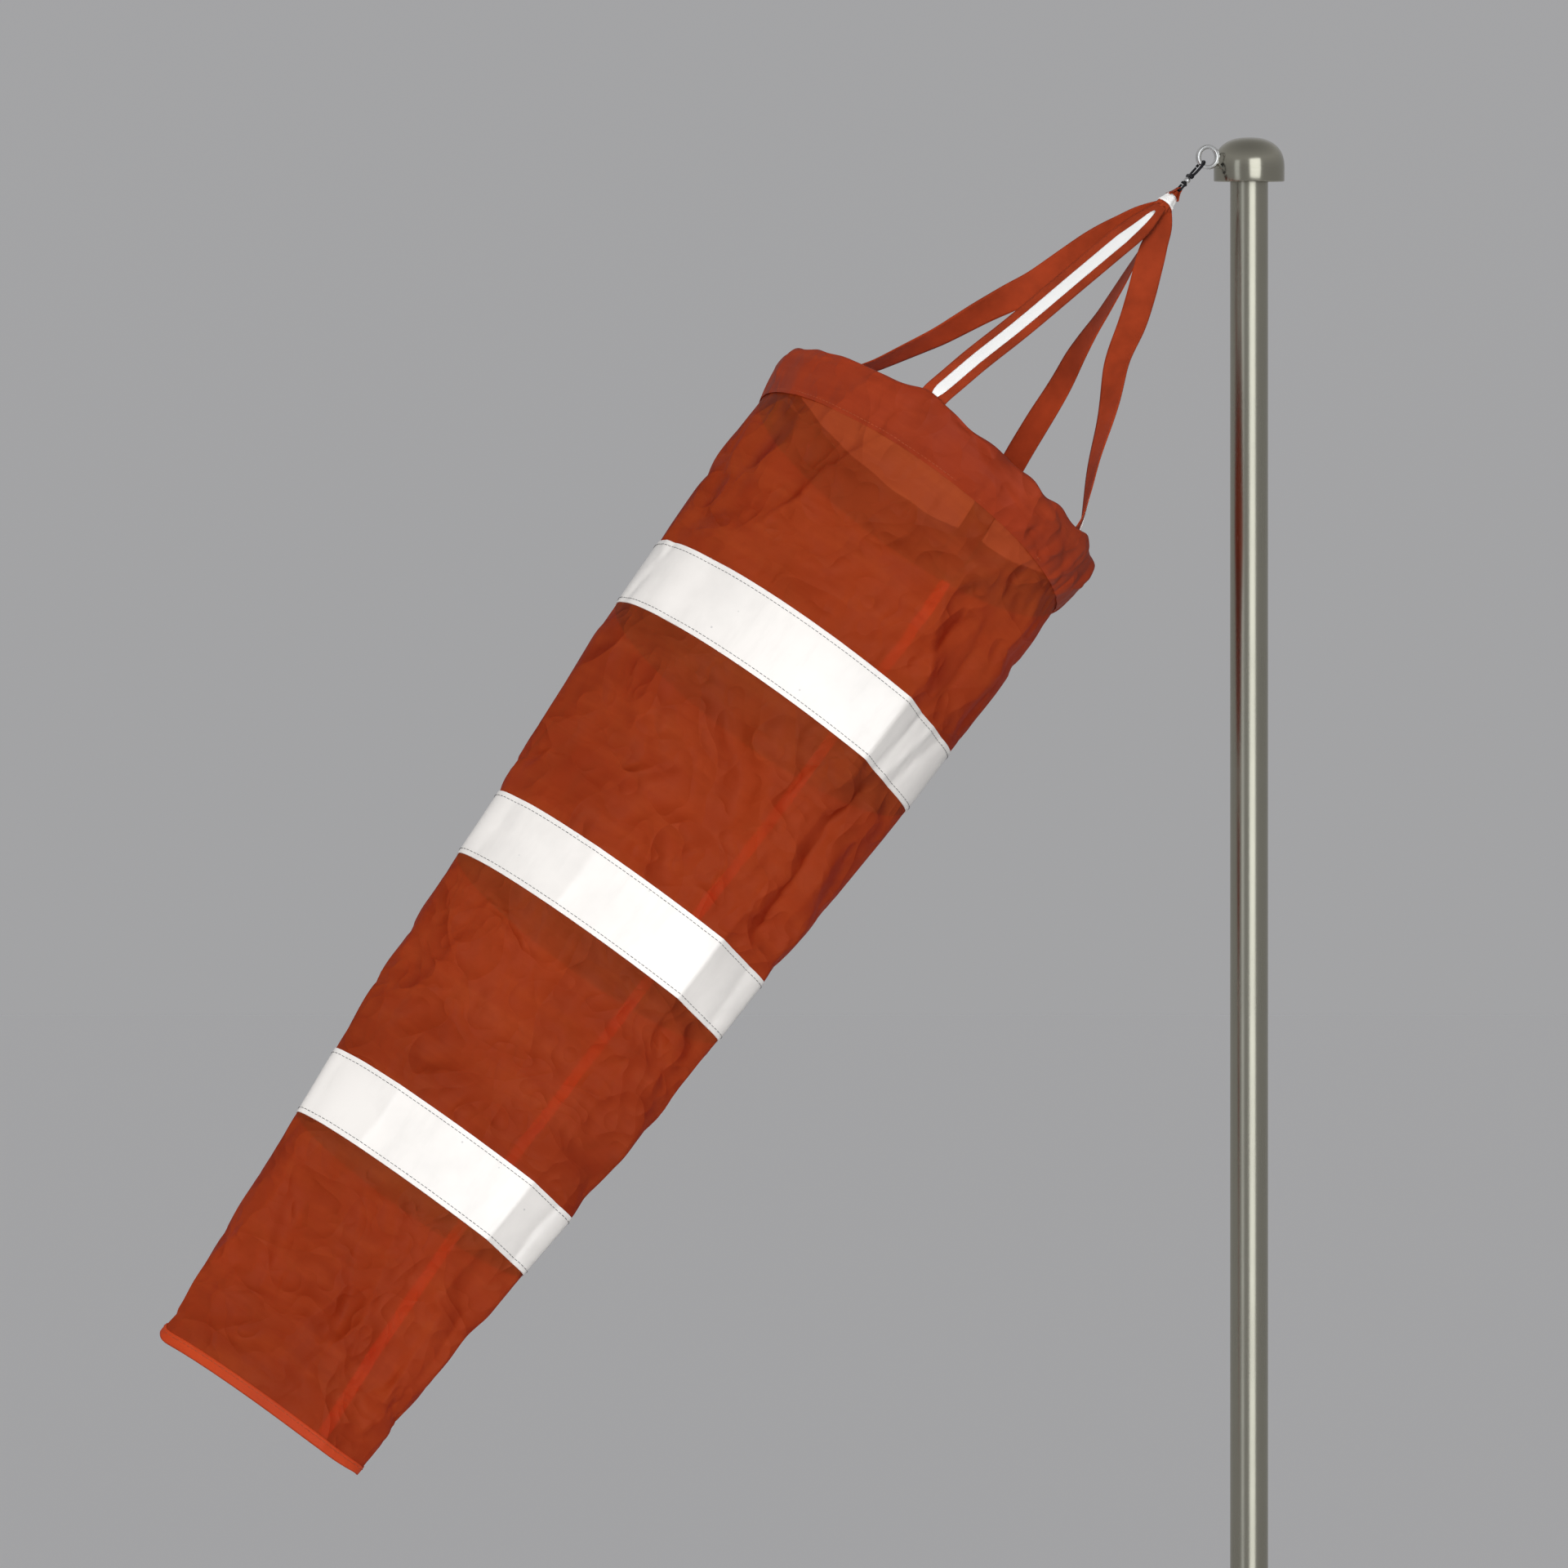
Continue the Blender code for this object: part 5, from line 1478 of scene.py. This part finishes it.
def strap_line(number):
    """Down a strap: its points, edge and face directions and widths, then its end inside the mouth."""
    angle = math.radians(STRAP_ANGLES[number])
    lean = BRIDLE_TILT - SOCK_TILT
    up = SOCK_UP * math.cos(lean) + SOCK_OUT * math.sin(lean)
    right = SOCK_OUT * math.cos(lean) - SOCK_UP * math.sin(lean)
    turn = angle + TWIST
    out_top = right * math.cos(turn) - WORLD_Y * math.sin(turn)
    start = MOUTH + up * (BRIDLE_LENGTH - STRAP_TOP) + out_top * 3.0 * MM
    column = SKIN.column_of(0.0, STRAP_ANGLES[number])
    rim = Vector(SKIN.at(0.0, np.array(column), -6.2 * MM).tolist()) + SOCK_UP * 4 * MM
    turns = np.array(STRAP_TURNS[number], float)
    bows = np.array(STRAP_BOWS[number], float)
    draw = random.Random(30 + number)
    shakes = [(draw.uniform(8, 22), draw.uniform(0, math.tau), draw.uniform(0.1, 0.35)) for _ in range(4)]
    ahead = (rim - start).normalized()
    stations = []
    for k in range(STRAP_STEPS + 1):
        share = k / STRAP_STEPS
        twisted = angle + math.radians(float(np.interp(share, turns[:, 0], turns[:, 1])))
        face = ACROSS * math.cos(twisted) + TOWARDS * math.sin(twisted)
        face = (face - ahead * face.dot(ahead)).normalized()
        edge = ahead.cross(face)
        shake = sum(size * math.sin(share * pitch + phase) for pitch, phase, size in shakes)
        fade = min(1, share * 8, (1 - share) * 6)
        aside = float(np.interp(share, bows[:, 0], bows[:, 1]))
        sag = float(np.interp(share, bows[:, 0], bows[:, 2]))
        ripple = (edge + face * 0.8) * shake * fade
        spread = min(1, share / 0.17)
        width = GATHERED_WIDTH + (STRAP_WIDTH - GATHERED_WIDTH) * math.sin(spread * math.pi / 2)
        gathered = 1.6 * MM * math.sin(min(1, share / 0.10) * math.pi)
        moved = (ACROSS * aside - Vector((0, 0, sag)) + ripple) * MM
        place = start.lerp(rim, share) + moved + out_top * gathered
        stations.append((place, edge, face, width))
    radial = ACROSS * math.cos(angle) + TOWARDS * math.sin(angle)
    edge = ahead.cross((radial - ahead * radial.dot(ahead)).normalized())
    for distance in (3, 9, 15, 21, 27, 32):
        inner = SKIN.at(distance * MM, np.array(column), -6.0 * MM + 2.4 * MM * min(1, distance / 20))
        stations.append((Vector(inner.tolist()), edge, radial, STRAP_WIDTH))
    return stations


def smoothed(stations, passes=3):
    """Evens out the corners of a strap's line and of its turning."""
    for _ in range(passes):
        eased = [stations[0]]
        for a, b, c in zip(stations, stations[1:], stations[2:]):
            eased.append(tuple((x + y * 2 + z) / 4 for x, y, z in zip(a, b, c)))
        stations = eased + [stations[-1]]
    return stations


def thicken(piece, thickness):
    step = piece.modifiers.new("thickness", "SOLIDIFY")
    step.thickness = thickness
    step.offset = 0


def ribbon(name, stations, width_at, lift, crown, material, slot, node, thickness, round_ends=False):
    """A flat ribbon along stations, slightly crowned across.

    width_at gives its width from a station's own width and the share of the ribbon's length.
    """
    rows = []
    last = len(stations) - 1
    for k, (place, edge, face, width) in enumerate(stations):
        wide = width_at(width, k / last)
        if round_ends:
            near = min(1, (min(k, last - k) + 0.35) / 3.2)
            wide *= math.sqrt(near * (2 - near))
        row = []
        for a in (-1, -0.82, -0.4, 0, 0.4, 0.82, 1):
            row.append(tuple(place + edge * (a * wide / 2) + face * (lift + crown * (1 - a * a))))
        rows.append(row)
    piece = finish_piece(name, sheet_mesh(name, np.array(rows)), material, "sock_mouth", slot, [node])
    thicken(piece, thickness)
    return piece


def strip_width(_, share):
    return min(STRIP_WIDTH, 2.8 * MM + 32 * MM * share)


def make_straps():
    for number in range(1, len(STRAP_ANGLES) + 1):
        name = f"strap_{number}"
        stations = smoothed(strap_line(number - 1))
        strap = ribbon(
            name, stations, lambda width, _: width, 0, 0.5 * MM, RIBBON, "orange_ribbon",
            f"bridle_strap_{number}", 0.7 * MM
        )
        stations = stations[STRIP_FROM : STRAP_STEPS + 1]
        strip = ribbon(
            f"{name}_strip", stations, strip_width, 0.95 * MM, 0.25 * MM, STRIP, "reflective_ribbon",
            f"strap_reflector_{number}", 0.35 * MM, True
        )


BUNDLE_STEPS = 64
# Down the bridle's line: distance from the ring and radius, in mm
GATHER = ((31.6, 1.0), (32.4, 1.35), (34, 2.0), (36.0, 3.1), (38.0, 3.4), (40.5, 4.0), (44.3, 5.1), (47, 5.6),
          (50, 5.9), (54, 5.2))
WRAP = ((36.5, 3.35), (36.4, 3.75), (38.4, 4.15), (40.5, 4.65), (42.6, 5.25), (44.4, 5.85), (44.3, 5.4))
# One side of the loop: distance from the ring and out from the line, in mm
LOOP_SIDE = ((37.2, 3.75), (36.2, 3.55), (34.2, 2.6), (32.4, 1.95), (31, 1.55), (29.8, 1.3), (28.9, 0.8))


def bundle(profile, size_at, flat, deep, slant_at=None):
    """Rows of points round the bridle's line, at places down it and with radii given in mm."""
    rows = []
    for along, radius in profile:
        row = []
        for j in range(BUNDLE_STEPS):
            turn = math.tau * j / BUNDLE_STEPS
            size = radius * size_at(along, turn)
            slant = slant_at(along, turn) if slant_at else 0
            across, out = size * math.sin(turn) * flat, size * math.cos(turn) * deep
            row.append(tuple(on_line(across, along + slant, out)))
        rows.append(row)
    return rows


def pleated(along, turn):
    pleat = 0.10 * min(1, (along - 30) / 12)
    return 1 + pleat * math.sin(turn * 8 + 0.4) + 0.06 * math.sin(turn * 3 + along * 0.12)


def make_gather():
    """Where the four straps are bound together: a pleated bundle and its white wrap."""
    rows = bundle(GATHER, pleated, 0.92, 1.08)
    top, low = ([tuple(on_line(0, along))] * BUNDLE_STEPS for along in (31.5, 54))
    mesh = sheet_mesh("gather", np.array([top] + rows + [low]), True)
    finish_piece("gather", mesh, RIBBON, "sock_mouth", "orange_ribbon", ["bridle_gather"], 60)

    rows = bundle(
        WRAP,
        lambda _, turn: 1 + 0.06 * math.cos(turn * 4 + 0.6) + 0.02 * math.sin(turn * 7),
        0.95,
        1.05,
        lambda along, turn: 0.5 * math.sin(turn + 0.5) * (1 if along > 40 else 0.5),
    )
    mesh = sheet_mesh("wrap", np.array(rows), True)
    wrap = finish_piece("wrap", mesh, STRIP, "sock_mouth", "reflective_ribbon", ["gather_wrap"])


def make_ribbon_loop():
    """A ribbon that goes up, over the swivel's eye and back down, widening towards the wrap."""
    route = [on_line(0, along, out) for along, out in LOOP_SIDE] + [on_line(0, 28.6, 0)]
    route += [on_line(0, along, -out) for along, out in reversed(LOOP_SIDE)]
    path = smooth_path(route, 5)
    rows = []
    for point in path:
        along = (RING - point).dot(BRIDLE_UP) / MM
        half = 1.9 + 2.0 * max(0, (along - 31) / 6.5) ** 1.1
        rows.append([tuple(point + WORLD_Y * (a * half * MM)) for a in (-1, -0.6, 0, 0.6, 1)])
    mesh = sheet_mesh("loop", np.array(rows))
    loop = finish_piece("ribbon_loop", mesh, RIBBON, "sock_mouth", "orange_ribbon", ["bridle_loop"])
    thicken(loop, 0.6 * MM)


# ---------------------------------------------------------------- kept CAD nodes

KEPT = {
    "pole_plug": TURNED,
    "plug_screw_1": BRIGHT,
    "plug_screw_2": BRIGHT,
    "bearing_inner_ring": BRIGHT,
    "bearing_outer_ring": BRIGHT,
    "bearing_cage": BRASS,
    "spindle_washer": BRIGHT,
    "spindle_nut": BRIGHT,
    "hub_circlip": BLACK,
    "mouth_hoop": TURNED,
    **{f"bearing_ball_{k}": BRIGHT for k in range(1, 8)},
}


def finish_kept():
    for name, material in KEPT.items():
        data = NODES[name].data
        data.materials.clear()
        data.materials.append(material)


make_flange()
make_socket()
make_pole()
make_cap()
make_eye_ring()
make_hook()
make_gate()
make_swivel()
make_sock_cloth()
make_bands()
make_hem()
make_sleeve()
make_seam()
make_straps()
make_gather()
make_ribbon_loop()
finish_kept()
